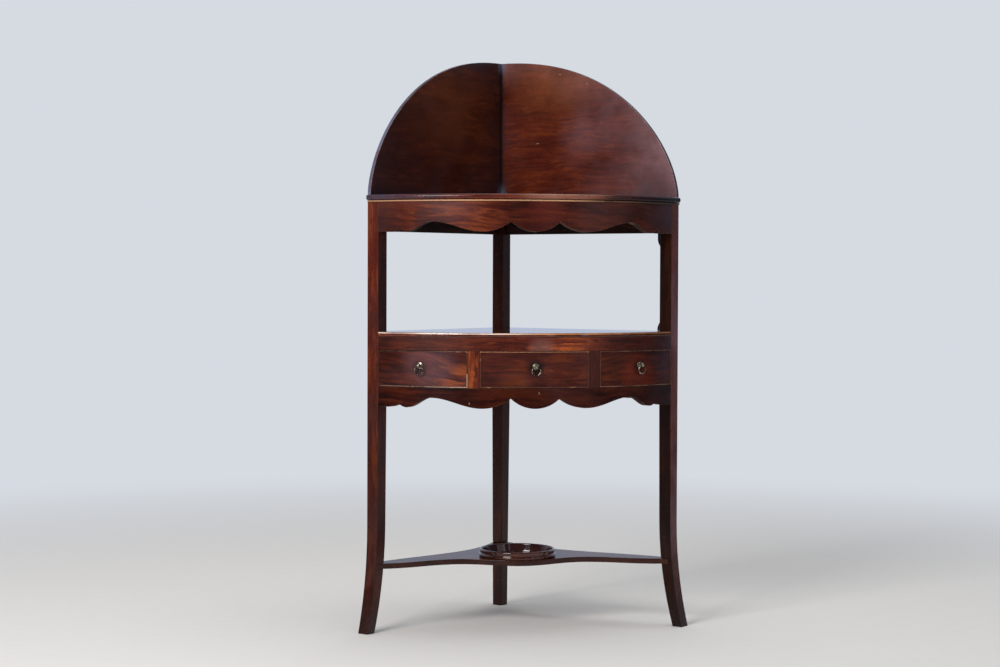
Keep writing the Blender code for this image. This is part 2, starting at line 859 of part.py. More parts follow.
half_outline = undertier_half()
left_half = [(-across, ahead) for across, ahead in reversed(half_outline[1:-1])]
outline = [(across, -ahead) for across, ahead in half_outline]
outline += [(across, -ahead) for across, ahead in left_half]
undertier_mesh = plate("undertier", outline, (undertier_low, undertier_height))
undertier = piece("undertier", undertier_mesh, table, mahogany)
ease(undertier, undertier_edge)
shelf_levels = wider((undertier_low, undertier_height))
rear_size = rear_section(undertier_height)[1]
notch = (-overrun, rear_size - rear_housing + fit)
carve(undertier, tool("rear_notch", box("rear_notch", notch, notch, (0, shelf_height)), wall(-1)))
inner, _, wide = front_section(undertier_height)
for side in (-1, 1):
    name = side_word(side)
    along = (inner - overrun, inner + undertier_housing)
    housing = box("housing", along, inward(side, -overrun, post + overrun), shelf_levels)
    carve(front_legs[side], tool(name + "_leg_housing", housing, wall(side)))
    along = (inner, inner + ear_long)
    notch = box("ear_notch", along, inward(side, wide - ear_deep, post + overrun), shelf_levels)
    carve(front_legs[side], tool(name + "_ear_notch", notch, wall(side)))
    along = (rear_size - rear_housing, rear_size + overrun)
    housing = box("housing", along, inward(side, -overrun, post + overrun), shelf_levels)
    carve(rear_leg, tool(name + "_rear_housing", housing, wall(side)))


def ring_profile():
    """The moulded rim, up its inner face, over its lip and down the outside to its foot."""
    inner = ring_radius - ring_wall
    lip_radius = ring_wall * 0.28
    lip_centre = ring_radius - ring_wall * 0.42
    steps = 6
    points = [(inner, 0), (inner + ring_wall * 0.22, ring_tall * 0.55)]
    for step in range(steps + 1):
        turn = pi * step / steps
        rise = ring_tall - lip_radius + lip_radius * sin(turn)
        points.append((lip_centre - lip_radius * cos(turn), rise))
    for wall_share, tall_share in rim_shares:
        points.append((ring_radius - ring_wall * wall_share, ring_tall * tall_share))
    return points


ring_frame = table @ Matrix.Translation((0, -ring_centre, undertier_height + fit))
turned("undertier_ring", ring_profile(), True, piece, ring_frame, 64, mahogany, 0.25)


# Ring pulls


def hollow_bar(name, radius, span, frame, sides):
    """A round bar along Z between two levels, as a cutter."""
    bm = bmesh.new()
    low, high = span
    bmesh.ops.create_cone(bm, segments=sides, radius1=radius, radius2=radius, depth=high - low, cap_ends=True)
    bmesh.ops.translate(bm, verts=bm.verts, vec=(0, 0, (low + high) / 2))
    return tool(name, to_mesh(name, bm), frame)


def pull(word, host, angle, thick):
    """A ring pull: rosette, eye post through the front, nut behind it, and the loop that hangs in the eye."""
    face = facing(angle, face_radius, pull_level)
    outward = face @ Matrix.Rotation(pi / 2, 4, "X")
    hole_radius = shank_radius + fit
    bore = (-thick - overrun, overrun)
    carve(host, hollow_bar("pull_hole_" + word, hole_radius, bore, outward, 24))

    edge = rosette_thick / 3
    profile = [(hole_radius, rosette_thick + fit), (rosette_radius - 2 * edge, rosette_thick + fit)]
    profile += [(rosette_radius - edge, rosette_thick - edge + fit), (rosette_radius, edge + fit)]
    profile += [(rosette_radius, fit), (hole_radius, fit)]
    turned("rosette_" + word, profile, True, piece, outward, 24, brass, 0.35, 1.0)

    inside = -thick - fit - nut_thick - shank_spare
    seat = rosette_thick + 2 * fit
    profile = [(0, pull_stand), (neck_radius * 0.8, pull_stand), (neck_radius, seat)]
    profile += [(shank_radius, seat), (shank_radius, inside), (0, inside)]
    post_piece = turned("pull_post_" + word, profile, False, piece, outward, 20, brass, 0.35, 1.0)
    eye_frame = face @ Matrix.Translation((0, -pull_stand, 0)) @ Matrix.Rotation(pi / 2, 4, "Y")
    eye = hollow_bar("eye_" + word, eye_radius, (-eye_half, eye_half), eye_frame, 24)
    ease(eye, eye_edge, 1)
    carve(post_piece, eye, "UNION")
    carve(post_piece, hollow_bar("eye_hole_" + word, eye_hole, (-overrun, overrun), eye_frame, 20))

    nut = bmesh.new()
    flats = {"segments": 6, "radius1": nut_radius, "radius2": nut_radius, "depth": nut_thick}
    bmesh.ops.create_cone(nut, cap_ends=True, **flats)
    bmesh.ops.translate(nut, verts=nut.verts, vec=(0, 0, -thick - 2 * fit - nut_thick / 2))
    nut_piece = piece("pull_nut_" + word, to_mesh("pull_nut_" + word, nut), outward, steel, 0.5, 1.0)
    carve(nut_piece, hollow_bar("nut_hole_" + word, hole_radius, bore, outward, 20))

    loop_frame = eye_frame @ Matrix.Translation((loop_radius, 0, 0)) @ Matrix.Rotation(pi / 2, 4, "X")
    steps = 10
    circle = [2 * pi * step / steps for step in range(steps)]
    profile = [(loop_radius + loop_wire * cos(turn), -loop_wire * sin(turn)) for turn in circle]
    turned("pull_loop_" + word, profile, True, piece, loop_frame, 36, brass, 0.35, 1.0)


pull("centre", drawer_front, 0, rail_thick)
side_pull_turn = (dummy_start + dummy_end) / 2 + side_pull_shift / face_radius
for side in (-1, 1):
    pull(side_word(side), dummy_fronts[side], side * side_pull_turn, dummy_thick)
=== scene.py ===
"""Looks of the bow-fronted corner table: old mahogany, worn cockbeads, dry oak linings and dark brass pulls.

Metres, +Z up, the bowed front faces -Y. The bow is an arc round the back corner, which lies on X = 0.
A place on the bow is given by the angle from straight ahead, right positive, the radius from the corner
and the level, and lengths along the bow start in the middle. A side is -1 on the left and 1 on the right.
"""

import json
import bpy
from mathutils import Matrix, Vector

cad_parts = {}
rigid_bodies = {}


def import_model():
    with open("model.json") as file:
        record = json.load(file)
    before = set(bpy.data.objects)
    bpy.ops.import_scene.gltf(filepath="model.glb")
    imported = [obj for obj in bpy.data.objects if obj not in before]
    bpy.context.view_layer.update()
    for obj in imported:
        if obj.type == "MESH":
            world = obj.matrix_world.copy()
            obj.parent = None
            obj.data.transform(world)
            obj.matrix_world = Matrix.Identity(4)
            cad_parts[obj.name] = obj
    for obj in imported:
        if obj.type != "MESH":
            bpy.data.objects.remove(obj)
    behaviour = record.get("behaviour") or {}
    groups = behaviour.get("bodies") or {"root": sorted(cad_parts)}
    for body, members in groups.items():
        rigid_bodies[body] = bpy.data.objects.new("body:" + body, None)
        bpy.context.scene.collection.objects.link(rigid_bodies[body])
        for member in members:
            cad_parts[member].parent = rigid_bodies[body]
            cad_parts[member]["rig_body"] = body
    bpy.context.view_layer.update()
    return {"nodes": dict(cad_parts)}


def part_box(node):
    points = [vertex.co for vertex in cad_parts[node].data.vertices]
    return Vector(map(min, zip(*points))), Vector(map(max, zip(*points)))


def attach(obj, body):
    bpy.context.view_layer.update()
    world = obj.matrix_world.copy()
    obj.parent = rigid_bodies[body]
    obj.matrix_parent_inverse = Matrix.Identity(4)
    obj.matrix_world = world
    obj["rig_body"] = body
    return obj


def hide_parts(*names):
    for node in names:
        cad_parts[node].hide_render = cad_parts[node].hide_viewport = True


bl_info = {
    "name": "Corner table looks",
    "version": (1, 0, 0),
    "blender": (4, 5, 0),
    "location": "3D view > Sidebar > Corner table",
    "description": "Dresses the corner table in old mahogany, pale beads, dry oak and dark brass",
    "category": "Object",
}

from math import asin, atan2, cos, pi, radians, sin, sqrt

import bpy
from bpy.props import FloatProperty, FloatVectorProperty, IntProperty, PointerProperty
from mathutils import Matrix, Vector

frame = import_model()
cad_nodes = frame["nodes"]

# Levels and radii read from the frame
corner_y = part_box("top_board")[1].y
top_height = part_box("top_board")[1].z
gallery_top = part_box("gallery_left")[1].z
shelf_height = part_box("middle_shelf")[1].z
opening_high, shelf_under = (corner.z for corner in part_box("drawer_rail"))
apron_low, opening_low = (corner.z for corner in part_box("scalloped_apron"))
frieze_low, frieze_high = (corner.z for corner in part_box("top_frieze"))
face_radius = corner_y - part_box("drawer_rail")[0].y
sides = {"left": -1, "right": 1}

# Points nearer than the weld are one point. In degrees, an edge that turns less than flat is none, and one
# that turns more than sharp is rounded
weld = 0.00001
flat_turn = 0.3
sharp_turn = 40


def tone(red, green, blue):
    """A colour given in 0 to 255, as the linear red, green and blue that a shader takes."""
    shares = [value / 255 for value in (red, green, blue)]
    return tuple(share / 12.92 if share <= 0.04045 else ((share + 0.055) / 1.055) ** 2.4 for share in shares)


def length(label, text, size):
    """A size in metres that the sidebar shows."""
    return FloatProperty(name=label, description=text, default=size, min=0, unit="LENGTH", precision=4)


def colour(label, text, red, green, blue):
    """A colour that the sidebar shows."""
    shown = tone(red, green, blue)
    return FloatVectorProperty(name=label, description=text, default=shown, min=0, max=1, subtype="COLOR")


class TableSizes(bpy.types.PropertyGroup):
    """Sizes of the finished edges, the scallops and the pulls."""

    post: length("Post", "Thickness of the square front posts", 0.0271)
    rail: length("Rail", "Thickness of the bowed rails", 0.016)
    arris: length("Arris", "How far the sharp edges are worn round", 0.0006)
    leg_arris: length("Leg arris", "How far the edges of the legs are worn round", 0.0009)
    scallop_rise: length("Scallop rise", "Height of the arches over the lobes", 0.0195)
    apron_notch: length("Apron notch", "Height of the apron's small notches beside the posts", 0.0062)
    frieze_notch: length("Frieze notch", "Height of the frieze's small notches beside the posts", 0.0075)
    bead_reach: length("Bead reach", "How far the top bead stands out from the frieze", 0.0022)
    cockbead: length("Cockbead", "Width of the cockbeads round the fronts", 0.0022)
    ring_wall: length("Ring wall", "Thickness of the ring on the undertier", 0.0100)
    loop_wire: length("Loop wire", "Radius of the wire of the pulls' loops", 0.0011)
    bracket_share: FloatProperty(
        name="Bracket share",
        description="How much of the brackets' width is left",
        default=0.79,
        min=0.3,
        max=1,
    )
    bow_steps: IntProperty(name="Bow steps", description="Facets along a bowed rail", default=400, min=40)


class TableColours(bpy.types.PropertyGroup):
    """Colours of the woods, the metals and the stage."""

    deep: colour("Deep brown", "Darkest streaks of the mahogany", 40, 15, 12)
    body: colour("Red brown", "Body colour of the mahogany", 83, 30, 19)
    light: colour("Light streaks", "Lighter streaks of the mahogany", 116, 50, 26)
    flame: colour("Flame", "Orange figure in the fronts", 158, 76, 33)
    aged: colour("Aged brown", "Body colour of the darkened mahogany", 38, 20, 15)
    straw: colour("Straw bead", "Body colour of the bead under the top", 196, 146, 108)
    oak: colour("Oak", "Dry oak of the drawer's lining", 162, 120, 80)
    pine: colour("Pine", "Dry pine of the glue blocks", 176, 138, 92)
    brass: colour("Brass", "Rubbed brass of the pulls", 202, 190, 168)
    patina: colour("Patina", "Dark film in the hollows of the brass", 36, 29, 25)
    steel: colour("Steel", "Nuts behind the pulls", 118, 114, 108)
    floor: colour("Floor", "Plain floor", 226, 224, 222)
    backdrop: colour("Backdrop", "Plain backdrop", 214, 219, 226)
    mirrored: colour("Mirrored room", "Room that the polish mirrors", 192, 203, 226)


def sizes():
    """The sizes as they stand in the sidebar."""
    return bpy.context.scene.corner_table_sizes


def colours():
    """The colours as they stand in the sidebar."""
    return bpy.context.scene.corner_table_colours


# Nodes


def set_inputs(tree, node, inputs):
    """Gives a node its inputs, each a value or another node's output."""
    for name, value in inputs.items():
        if isinstance(value, bpy.types.NodeSocket):
            tree.links.new(value, node.inputs[name])
        else:
            node.inputs[name].default_value = value


def add(tree, kind, inputs=None, **settings):
    """Adds a node with its settings and its inputs."""
    made = tree.nodes.new("ShaderNode" + kind)
    for name, value in settings.items():
        setattr(made, name, value)
    set_inputs(tree, made, inputs or {})
    return made


def calc(tree, operation, *values):
    """A number worked out from one, two or three others."""
    return add(tree, "Math", dict(enumerate(values)), operation=operation).outputs[0]


def times(tree, first, second):
    """The product of two numbers."""
    return calc(tree, "MULTIPLY", first, second)


def apart(tree, first, second):
    """How far two numbers are apart."""
    return calc(tree, "ABSOLUTE", calc(tree, "SUBTRACT", first, second))


def vector(tree, operation, *values):
    """A vector worked out from others."""
    return add(tree, "VectorMath", dict(enumerate(values)), operation=operation).outputs[0]


def measure(tree, operation, *values):
    """A number worked out from vectors, such as a length."""
    return add(tree, "VectorMath", dict(enumerate(values)), operation=operation).outputs["Value"]


def split(tree, place):
    """The X, Y and Z of a place."""
    return add(tree, "SeparateXYZ", {0: place}).outputs


def solid(shade):
    """A colour as a socket takes it."""
    return shade if isinstance(shade, bpy.types.NodeSocket) else (*shade, 1)


def mixed(tree, share, first, second, blend="MIX"):
    """One colour over another."""
    inputs = {0: share, 6: solid(first), 7: solid(second)}
    return add(tree, "Mix", inputs, data_type="RGBA", blend_type=blend).outputs[2]


def shaded(tree, shown, shade):
    """A colour multiplied by another."""
    return mixed(tree, 1.0, shown, shade, "MULTIPLY")


def mixed_value(tree, share, first, second):
    """A number between two others."""
    return add(tree, "Mix", {0: share, 2: first, 3: second}, data_type="FLOAT").outputs[0]


def grey(tree, value):
    """A number as a grey."""
    return add(tree, "CombineColor", {0: value, 1: value, 2: value}).outputs[0]


def ramp(tree, value, low, high, start=0.0, end=1.0):
    """A value eased from one end to the other as the input goes from low to high."""
    inputs = {"Value": value, "From Min": low, "From Max": high, "To Min": start, "To Max": end}
    return add(tree, "MapRange", inputs, interpolation_type="SMOOTHSTEP").outputs[0]


def noise(tree, place, cells, detail=3.0, rough=0.5, twist=0.0, output=0):
    """Smooth noise with so many cells to a metre, the same on all axes or one number for each."""
    cells = cells if isinstance(cells, tuple) else (cells, cells, cells)
    inputs = {"Vector": vector(tree, "MULTIPLY", place, cells), "Scale": 1.0, "Detail": detail}
    return add(tree, "TexNoise", inputs | {"Roughness": rough, "Distortion": twist}).outputs[output]


def bump(tree, height, strength, depth=0.0004):
    """A normal that follows a height."""
    return add(tree, "Bump", {"Height": height, "Strength": strength, "Distance": depth}).outputs[0]


def turn_within(tree, reach):
    """How alike the surface and its surroundings within a reach face: one on flat ground, less at an edge."""
    soft = add(tree, "Bevel", {"Radius": reach}, samples=6).outputs[0]
    return measure(tree, "DOT_PRODUCT", soft, add(tree, "NewGeometry").outputs["Normal"])


# Effects that several materials share


def new_group(name, inputs, outputs):
    """An empty node group that takes a place and named inputs, each a number or, with None, a colour."""
    tree = bpy.data.node_groups.new(name, "ShaderNodeTree")
    tree.interface.new_socket("Vector", in_out="INPUT", socket_type="NodeSocketVector")
    for label, value in inputs.items():
        kind = "NodeSocketColor" if value is None else "NodeSocketFloat"
        socket = tree.interface.new_socket(label, in_out="INPUT", socket_type=kind)
        if value is not None:
            socket.default_value = value
    for label in outputs:
        kind = label if label in ("Color", "Vector") else "Float"
        tree.interface.new_socket(label, in_out="OUTPUT", socket_type="NodeSocket" + kind)
    return tree, tree.nodes.new("NodeGroupInput").outputs, tree.nodes.new("NodeGroupOutput")


def bow_place_group():
    """Object coordinates turned into length along the bow, level, and radius from the corner."""
    tree, taken, given = new_group("bow_place", {"Corner": 0.2, "Radius": 0.4}, ("Vector",))
    parts = split(tree, taken["Vector"])
    ahead = calc(tree, "SUBTRACT", taken["Corner"], parts["Y"])
    along = times(tree, calc(tree, "ARCTAN2", parts["X"], ahead), taken["Radius"])
    across = times(tree, parts["X"], parts["X"])
    reach = calc(tree, "SQRT", calc(tree, "MULTIPLY_ADD", ahead, ahead, across))
    place = add(tree, "CombineXYZ", {"X": along, "Y": parts["Z"], "Z": reach})
    set_inputs(tree, given, {"Vector": place.outputs[0]})
    return tree


def mahogany_group():
    """Mahogany with its grain along X: streaks, broken ribbons, orange flame, fine lines and pores."""
    inputs = {"Deep": None, "Body": None, "Light": None, "Flame": None, "Flame share": 0.5}
    tree, taken, given = new_group("mahogany_figure", inputs, ("Color", "Height"))
    drift = noise(tree, taken["Vector"], (9, 14, 14), 1, output=1)
    drift = vector(tree, "MULTIPLY", vector(tree, "SUBTRACT", drift, (0.5, 0.5, 0.5)), (0, 0.020, 0.020))
    place = vector(tree, "ADD", taken["Vector"], drift)
    streak = noise(tree, place, (7, 95, 95), 4, 0.6, 0.5)
    ribbon = noise(tree, place, (20, 240, 240), 2, 0.5, 0.3)
    cloud = noise(tree, place, (8, 16, 16), 2, 0.5, 0.3)
    hair = noise(tree, place, (30, 1000, 1000), 2, 0.6)
    pore = noise(tree, place, (120, 2600, 2600), 1)
    flame = noise(tree, place, (10, 75, 75), 3, 0.55, 1.2)
    figure = calc(tree, "MULTIPLY_ADD", cloud, 0.35, times(tree, streak, 0.45))
    figure = calc(tree, "MULTIPLY_ADD", ribbon, 0.2, figure)
    ground = mixed(tree, ramp(tree, figure, 0.40, 0.51), taken["Deep"], taken["Body"])
    ground = mixed(tree, ramp(tree, figure, 0.49, 0.60), ground, taken["Light"])
    lit = times(tree, ramp(tree, flame, 0.47, 0.62), ramp(tree, cloud, 0.38, 0.56))
    ground = mixed(tree, times(tree, lit, taken["Flame share"]), ground, taken["Flame"])
    line = ramp(tree, hair, 0.35, 0.65, 0.80, 1.12)
    pores = ramp(tree, pore, 0.60, 0.70, 1.0, 0.55)
    shown = shaded(tree, ground, grey(tree, times(tree, line, pores)))
    set_inputs(tree, given, {"Color": shown, "Height": calc(tree, "MULTIPLY_ADD", hair, 0.35, pores)})
    return tree


def worn_edge_group():
    """Where edges are rubbed: a mask that is broken by noise."""
    tree, taken, given = new_group("worn_edge", {"Width": 0.001, "Amount": 1.0}, ("Mask",))
    edge = ramp(tree, turn_within(tree, taken["Width"]), 0.995, 0.86)
    patch = noise(tree, taken["Vector"], 42, 4, 0.65)
    rubbed = times(tree, edge, ramp(tree, patch, 0.40, 0.62))
    set_inputs(tree, given, {"Mask": times(tree, rubbed, taken["Amount"])})
    return tree


def old_polish_group():
    """What years of wax leave: cloudy bloom, which also paints sheen, dull patches and sparse short
    scratches.
    """
    tree, taken, given = new_group("old_polish", {"Gloss": 0.3}, ("Haze", "Scratch", "Roughness"))
    bloom_and_sheen = noise(tree, taken["Vector"], 7, 3, 0.5, 0.4)
    smear = noise(tree, taken["Vector"], 60, 4, 0.6)
    spots = vector(tree, "MULTIPLY", taken["Vector"], (95, 95, 30))
    cells = add(tree, "TexVoronoi", {"Vector": spots, "Scale": 1.0})
    chosen = add(tree, "SeparateColor", {0: cells.outputs["Color"]}).outputs[0]
    dot = ramp(tree, cells.outputs["Distance"], 0.12, 0.05)
    nick = times(tree, dot, calc(tree, "GREATER_THAN", chosen, 0.955))
    dull = calc(tree, "MULTIPLY_ADD", ramp(tree, bloom_and_sheen, 0.4, 0.7), 0.35, 0.9)
    dull = calc(tree, "MULTIPLY_ADD", ramp(tree, smear, 0.4, 0.75), 0.25, dull)
    given_values = {"Haze": ramp(tree, bloom_and_sheen, 0.46, 0.72), "Scratch": nick}
    set_inputs(tree, given, given_values | {"Roughness": times(tree, dull, taken["Gloss"])})
    return tree


def grime_group():
    """Darkening just above a level and towards the middle plane: painted shade, with some dust."""
    tree, taken, given = new_group("grime", {"Level": 0.0, "Height": 0.03, "Middle": 0.0}, ("Mask",))
    parts = split(tree, taken["Vector"])
    cloud = noise(tree, taken["Vector"], 22, 4, 0.6)
    rise = calc(tree, "DIVIDE", calc(tree, "SUBTRACT", parts["Z"], taken["Level"]), taken["Height"])
    foot = calc(tree, "SUBTRACT", 1.0, calc(tree, "MULTIPLY_ADD", cloud, 0.5, rise))
    side = calc(tree, "SUBTRACT", taken["Middle"], calc(tree, "ABSOLUTE", parts["X"]))
    side = calc(tree, "DIVIDE", side, calc(tree, "MAXIMUM", taken["Middle"], 0.001))
    most = calc(tree, "MAXIMUM", foot, calc(tree, "MULTIPLY_ADD", cloud, -0.3, side))
    set_inputs(tree, given, {"Mask": ramp(tree, most, 0.0, 0.9)})
    return tree


def dry_wood_group():
    """Unpolished wood with its grain along X: growth lines, open pores and dusty patches."""
    tree, taken, given = new_group("dry_wood", {"Body": None}, ("Color", "Height"))
    ring = noise(tree, taken["Vector"], (3, 55, 90), 3, 0.6, 1.2)
    line = noise(tree, taken["Vector"], (20, 500, 500), 3, 0.6)
    stain = noise(tree, taken["Vector"], (9, 12, 12), 4, 0.6)
    shade = times(tree, ramp(tree, ring, 0.35, 0.65, 0.68, 1.08), ramp(tree, line, 0.3, 0.7, 0.78, 1.1))
    shade = times(tree, shade, ramp(tree, stain, 0.3, 0.65, 0.7, 1.05))
    shown = shaded(tree, taken["Body"], grey(tree, shade))
    set_inputs(tree, given, {"Color": shown, "Height": calc(tree, "ADD", ring, line)})
    return tree


def patina_group():
    """Old brass: dark film with rubbed high spots."""
    outputs = ("Color", "Roughness", "Height")
    tree, taken, given = new_group("brass_patina", {"Metal": None, "Film": None}, outputs)
    blot = noise(tree, taken["Vector"], 260, 4, 0.65)
    pit = noise(tree, taken["Vector"], 1500, 2, 0.6)
    edge = ramp(tree, turn_within(tree, reach=0.0009), 0.995, 0.9)
    rubbed = calc(tree, "MAXIMUM", edge, ramp(tree, blot, 0.46, 0.6))
    rough = calc(tree, "MULTIPLY_ADD", pit, 0.15, ramp(tree, rubbed, 0, 1, 0.5, 0.24))
    given_values = {"Color": mixed(tree, rubbed, taken["Film"], taken["Metal"]), "Roughness": rough}
    set_inputs(tree, given, given_values | {"Height": calc(tree, "MULTIPLY_ADD", pit, 0.3, blot)})
    return tree


group_makers = {
    "bow_place": bow_place_group,
    "mahogany_figure": mahogany_group,
    "worn_edge": worn_edge_group,
    "old_polish": old_polish_group,
    "grime": grime_group,
    "dry_wood": dry_wood_group,
    "brass_patina": patina_group,
}


def placed_group(tree, name, inputs):
    """One of the shared groups, built the first time that it is asked for."""
    group = bpy.data.node_groups.get(name) or group_makers[name]()
    return add(tree, "Group", inputs, node_tree=group).outputs


# Materials

# Colours that lie over the mahogany
# Bloom of old wax, which also paints sheen
bloom_and_sheen_tint = tone(132, 104, 116)
scratch_tint = tone(150, 118, 100)
# Small painted glints
glint_tint = tone(186, 160, 150)
# Painted shade in the gallery's crease, and a painted bluish reflection at its ends
crease_shade_tint = tone(16, 12, 12)
crease_reflection_tint = tone(120, 128, 156)
# A worn upper lip with a painted highlight, pink on the left and orange on the right
pink_lip_wear_and_highlight = tone(236, 210, 192)
orange_lip_wear_and_highlight = tone(214, 148, 86)

# Width of a rubbed edge, how far worn edges take to fade, and how far in from the edge a board's rim
# starts and is full
rub_width = 0.0012
wear_fade = 0.05
rim_starts = 0.02
rim_full = 0.002

grain_turns = {
    "across": (0, 0, 0),
    "ahead": (0, 0, radians(90)),
    "upright": (0, radians(90), 0),
    "left_wall": (0, 0, radians(-45)),
    "right_wall": (0, 0, radians(45)),
}


def blank(name):
    """A material with its shader, and the place on the piece in object coordinates."""
    made = bpy.data.materials.new(name)
    made.use_nodes = True
    tree = made.node_tree
    return made, tree, tree.nodes["Principled BSDF"], add(tree, "TexCoord").outputs["Object"]


def between(first, second, share):
    """A colour between two others."""
    return tuple(a + (b - a) * share for a, b in zip(first, second))


def bow_coordinates(tree, place):
    """Length along the bow, level and radius of a place on a piece."""
    return placed_group(tree, "bow_place", {"Vector": place, "Corner": corner_y, "Radius": face_radius})[0]


def grain_place(tree, place, grain, seed, tilt=0.0):
    """The place with X along the grain, moved on by the piece's own seed. On the bow, tilt is its dip."""
    if grain == "bow":
        place = bow_coordinates(tree, place)
        turn = (0, 0, radians(tilt))
    else:
        turn = grain_turns[grain]
    shift = (1.37 * seed, 0.61 * seed, 0.23 * seed)
    return add(tree, "Mapping", {"Vector": place, "Location": shift, "Rotation": turn}).outputs[0]


def painted_light_along_bow(tree, shown, along, light_and_shade):
    """A colour with painted light and shade along the bow, evenly through the given brightnesses from left to
    right.
    """
    half_bow = face_radius * pi / 4
    share = add(tree, "MapRange", {"Value": along, "From Min": -half_bow, "From Max": half_bow}).outputs[0]
    made = add(tree, "ValToRGB", {0: share})
    stops = made.color_ramp.elements
    while len(stops) < len(light_and_shade):
        stops.new(0.5)
    for number, (stop, value) in enumerate(zip(stops, light_and_shade)):
        stop.position = number / (len(light_and_shade) - 1)
        stop.color = (value, value**1.1, value**1.1, 1)
    return shaded(tree, shown, made.outputs[0])


def layered_sheen_shade_and_tint(tree, shown, place, across, level, films):
    """A colour with soft layers over it: painted sheen, painted shade and patches of the wood's own tint.

    A film has its place across and up, the distances from there where it starts and is full, its share and
    its colour.
    """
    broken = ramp(tree, noise(tree, place, 16, 4, 0.6), 0.3, 0.7, 0.45, 1.0)
    for middle, height, start, full, share, film in films:
        off = {"X": calc(tree, "SUBTRACT", across, middle), "Y": calc(tree, "SUBTRACT", level, height)}
        off = measure(tree, "LENGTH", add(tree, "CombineXYZ", off).outputs[0])
        most = times(tree, ramp(tree, off, start, full), broken)
        shown = mixed(tree, times(tree, most, share), shown, tone(*film))
    return shown


def with_painted_glints(tree, shown, across, level, glints):
    """A colour with small painted glints, each with its place across and up and its half sizes."""
    for middle, height, half_across, half_level in glints:
        off = calc(tree, "DIVIDE", calc(tree, "SUBTRACT", across, middle), half_across)
        rise = calc(tree, "DIVIDE", calc(tree, "SUBTRACT", level, height), half_level)
        away = calc(tree, "ADD", times(tree, off, off), times(tree, rise, rise))
        shown = mixed(tree, ramp(tree, away, 1.2, 0.3, 0, 0.55), shown, glint_tint)
    return shown


def warm_flame(tree, along, look):
    """How much orange flame shows: the same everywhere, or most round one angle on the bow."""
    share = look.get("flame", 0.35)
    if "warm" not in look:
        return share
    middle, half = (radians(angle) * face_radius for angle in look["warm"])
    return ramp(tree, apart(tree, along, middle), half, half * 0.3, share * 0.15, share)


def weathered(tree, ground, place, across, bow, parts, look):
    """The figure under painted light and shade, dust with painted shade, and layers of painted sheen, shade
    and tint.
    """
    shown = ground
    # Painted light and shade along the bow
    if "light_and_shade" in look:
        shown = painted_light_along_bow(tree, shown, bow["X"], look["light_and_shade"])
    # Painted shade, darker towards the bottom
    if "dim" in look:
        shown = shaded(tree, shown, grey(tree, ramp(tree, parts["Z"], *look["dim"], 1.0)))
    # Painted shade with some dust, just above a level and towards the middle
    if "dirt" in look:
        grime = placed_group(tree, "grime", {"Vector": place, **look["dirt"]})["Mask"]
        shown = mixed(tree, times(tree, grime, 0.8), shown, tone(*look.get("dust_and_shade_colour", (24, 18, 19))))
    # Layers of painted sheen and shade, and patches of tint
    if "films" in look:
        shown = layered_sheen_shade_and_tint(tree, shown, place, across, parts["Z"], look["films"])
    if "rim" in look:
        on_edge = ramp(tree, bow["Z"], face_radius - rim_starts, face_radius - rim_full)
        shown = mixed(tree, on_edge, ground, shown)
    return shown


def rubbed(tree, shown, place, level, look):
    """A colour with paler wood along its worn edges."""
    amount = look.get("wear", 0.4)
    if "worn_above" in look:
        start = look["worn_above"]
        amount = ramp(tree, level, start - wear_fade, start, amount * 0.15, amount)
    worn = placed_group(tree, "worn_edge", {"Vector": place, "Width": rub_width, "Amount": amount})["Mask"]
    return mixed(tree, worn, shown, tone(*look.get("rub", (150, 100, 72))))


def with_crease_shade_and_reflection(tree, shown, parts, top):
    """A colour with the corner between the gallery's panels: a dark line of painted shade, with a painted
    bluish reflection at both its ends.
    """
    foot_reflection_reach = 0.045
    top_reflection_reach = 0.03
    away = calc(tree, "ABSOLUTE", parts["X"])
    foot = ramp(tree, parts["Z"], top_height + foot_reflection_reach, top_height, 0.0, 0.6)
    ends = calc(tree, "MAXIMUM", foot, ramp(tree, parts["Z"], top - top_reflection_reach, top, 0.0, 0.4))
    line = ramp(tree, away, 0.0024, 0.0012, 0.0, 0.8)
    # Painted reflection at the crease's ends
    glow = times(tree, ramp(tree, away, 0.014, 0.001), ends)
    return mixed(tree, glow, mixed(tree, line, shown, crease_shade_tint), crease_reflection_tint)


def lip_worn_and_highlighted(tree, shown, along, bow, look):
    """A colour with the upper edge of a board rubbed bare and painted with a highlight, pink on the left and
    orange on the right.
    """
    radius, level = look["lip"]
    above = calc(tree, "GREATER_THAN", bow["Y"], level)
    out = times(tree, above, ramp(tree, bow["Z"], radius - rub_width, radius))
    patch = noise(tree, along, (14, 30, 30), 4, 0.6)
    bare = times(tree, out, ramp(tree, patch, 0.3, 0.6, 0.45, 0.95))
    pink_ends = -0.08
    orange_starts = 0.05
    edge = mixed(tree, ramp(tree, bow["X"], pink_ends, orange_starts), pink_lip_wear_and_highlight, orange_lip_wear_and_highlight)
    return mixed(tree, bare, shown, painted_light_along_bow(tree, edge, bow["X"], look["light_and_shade"]))


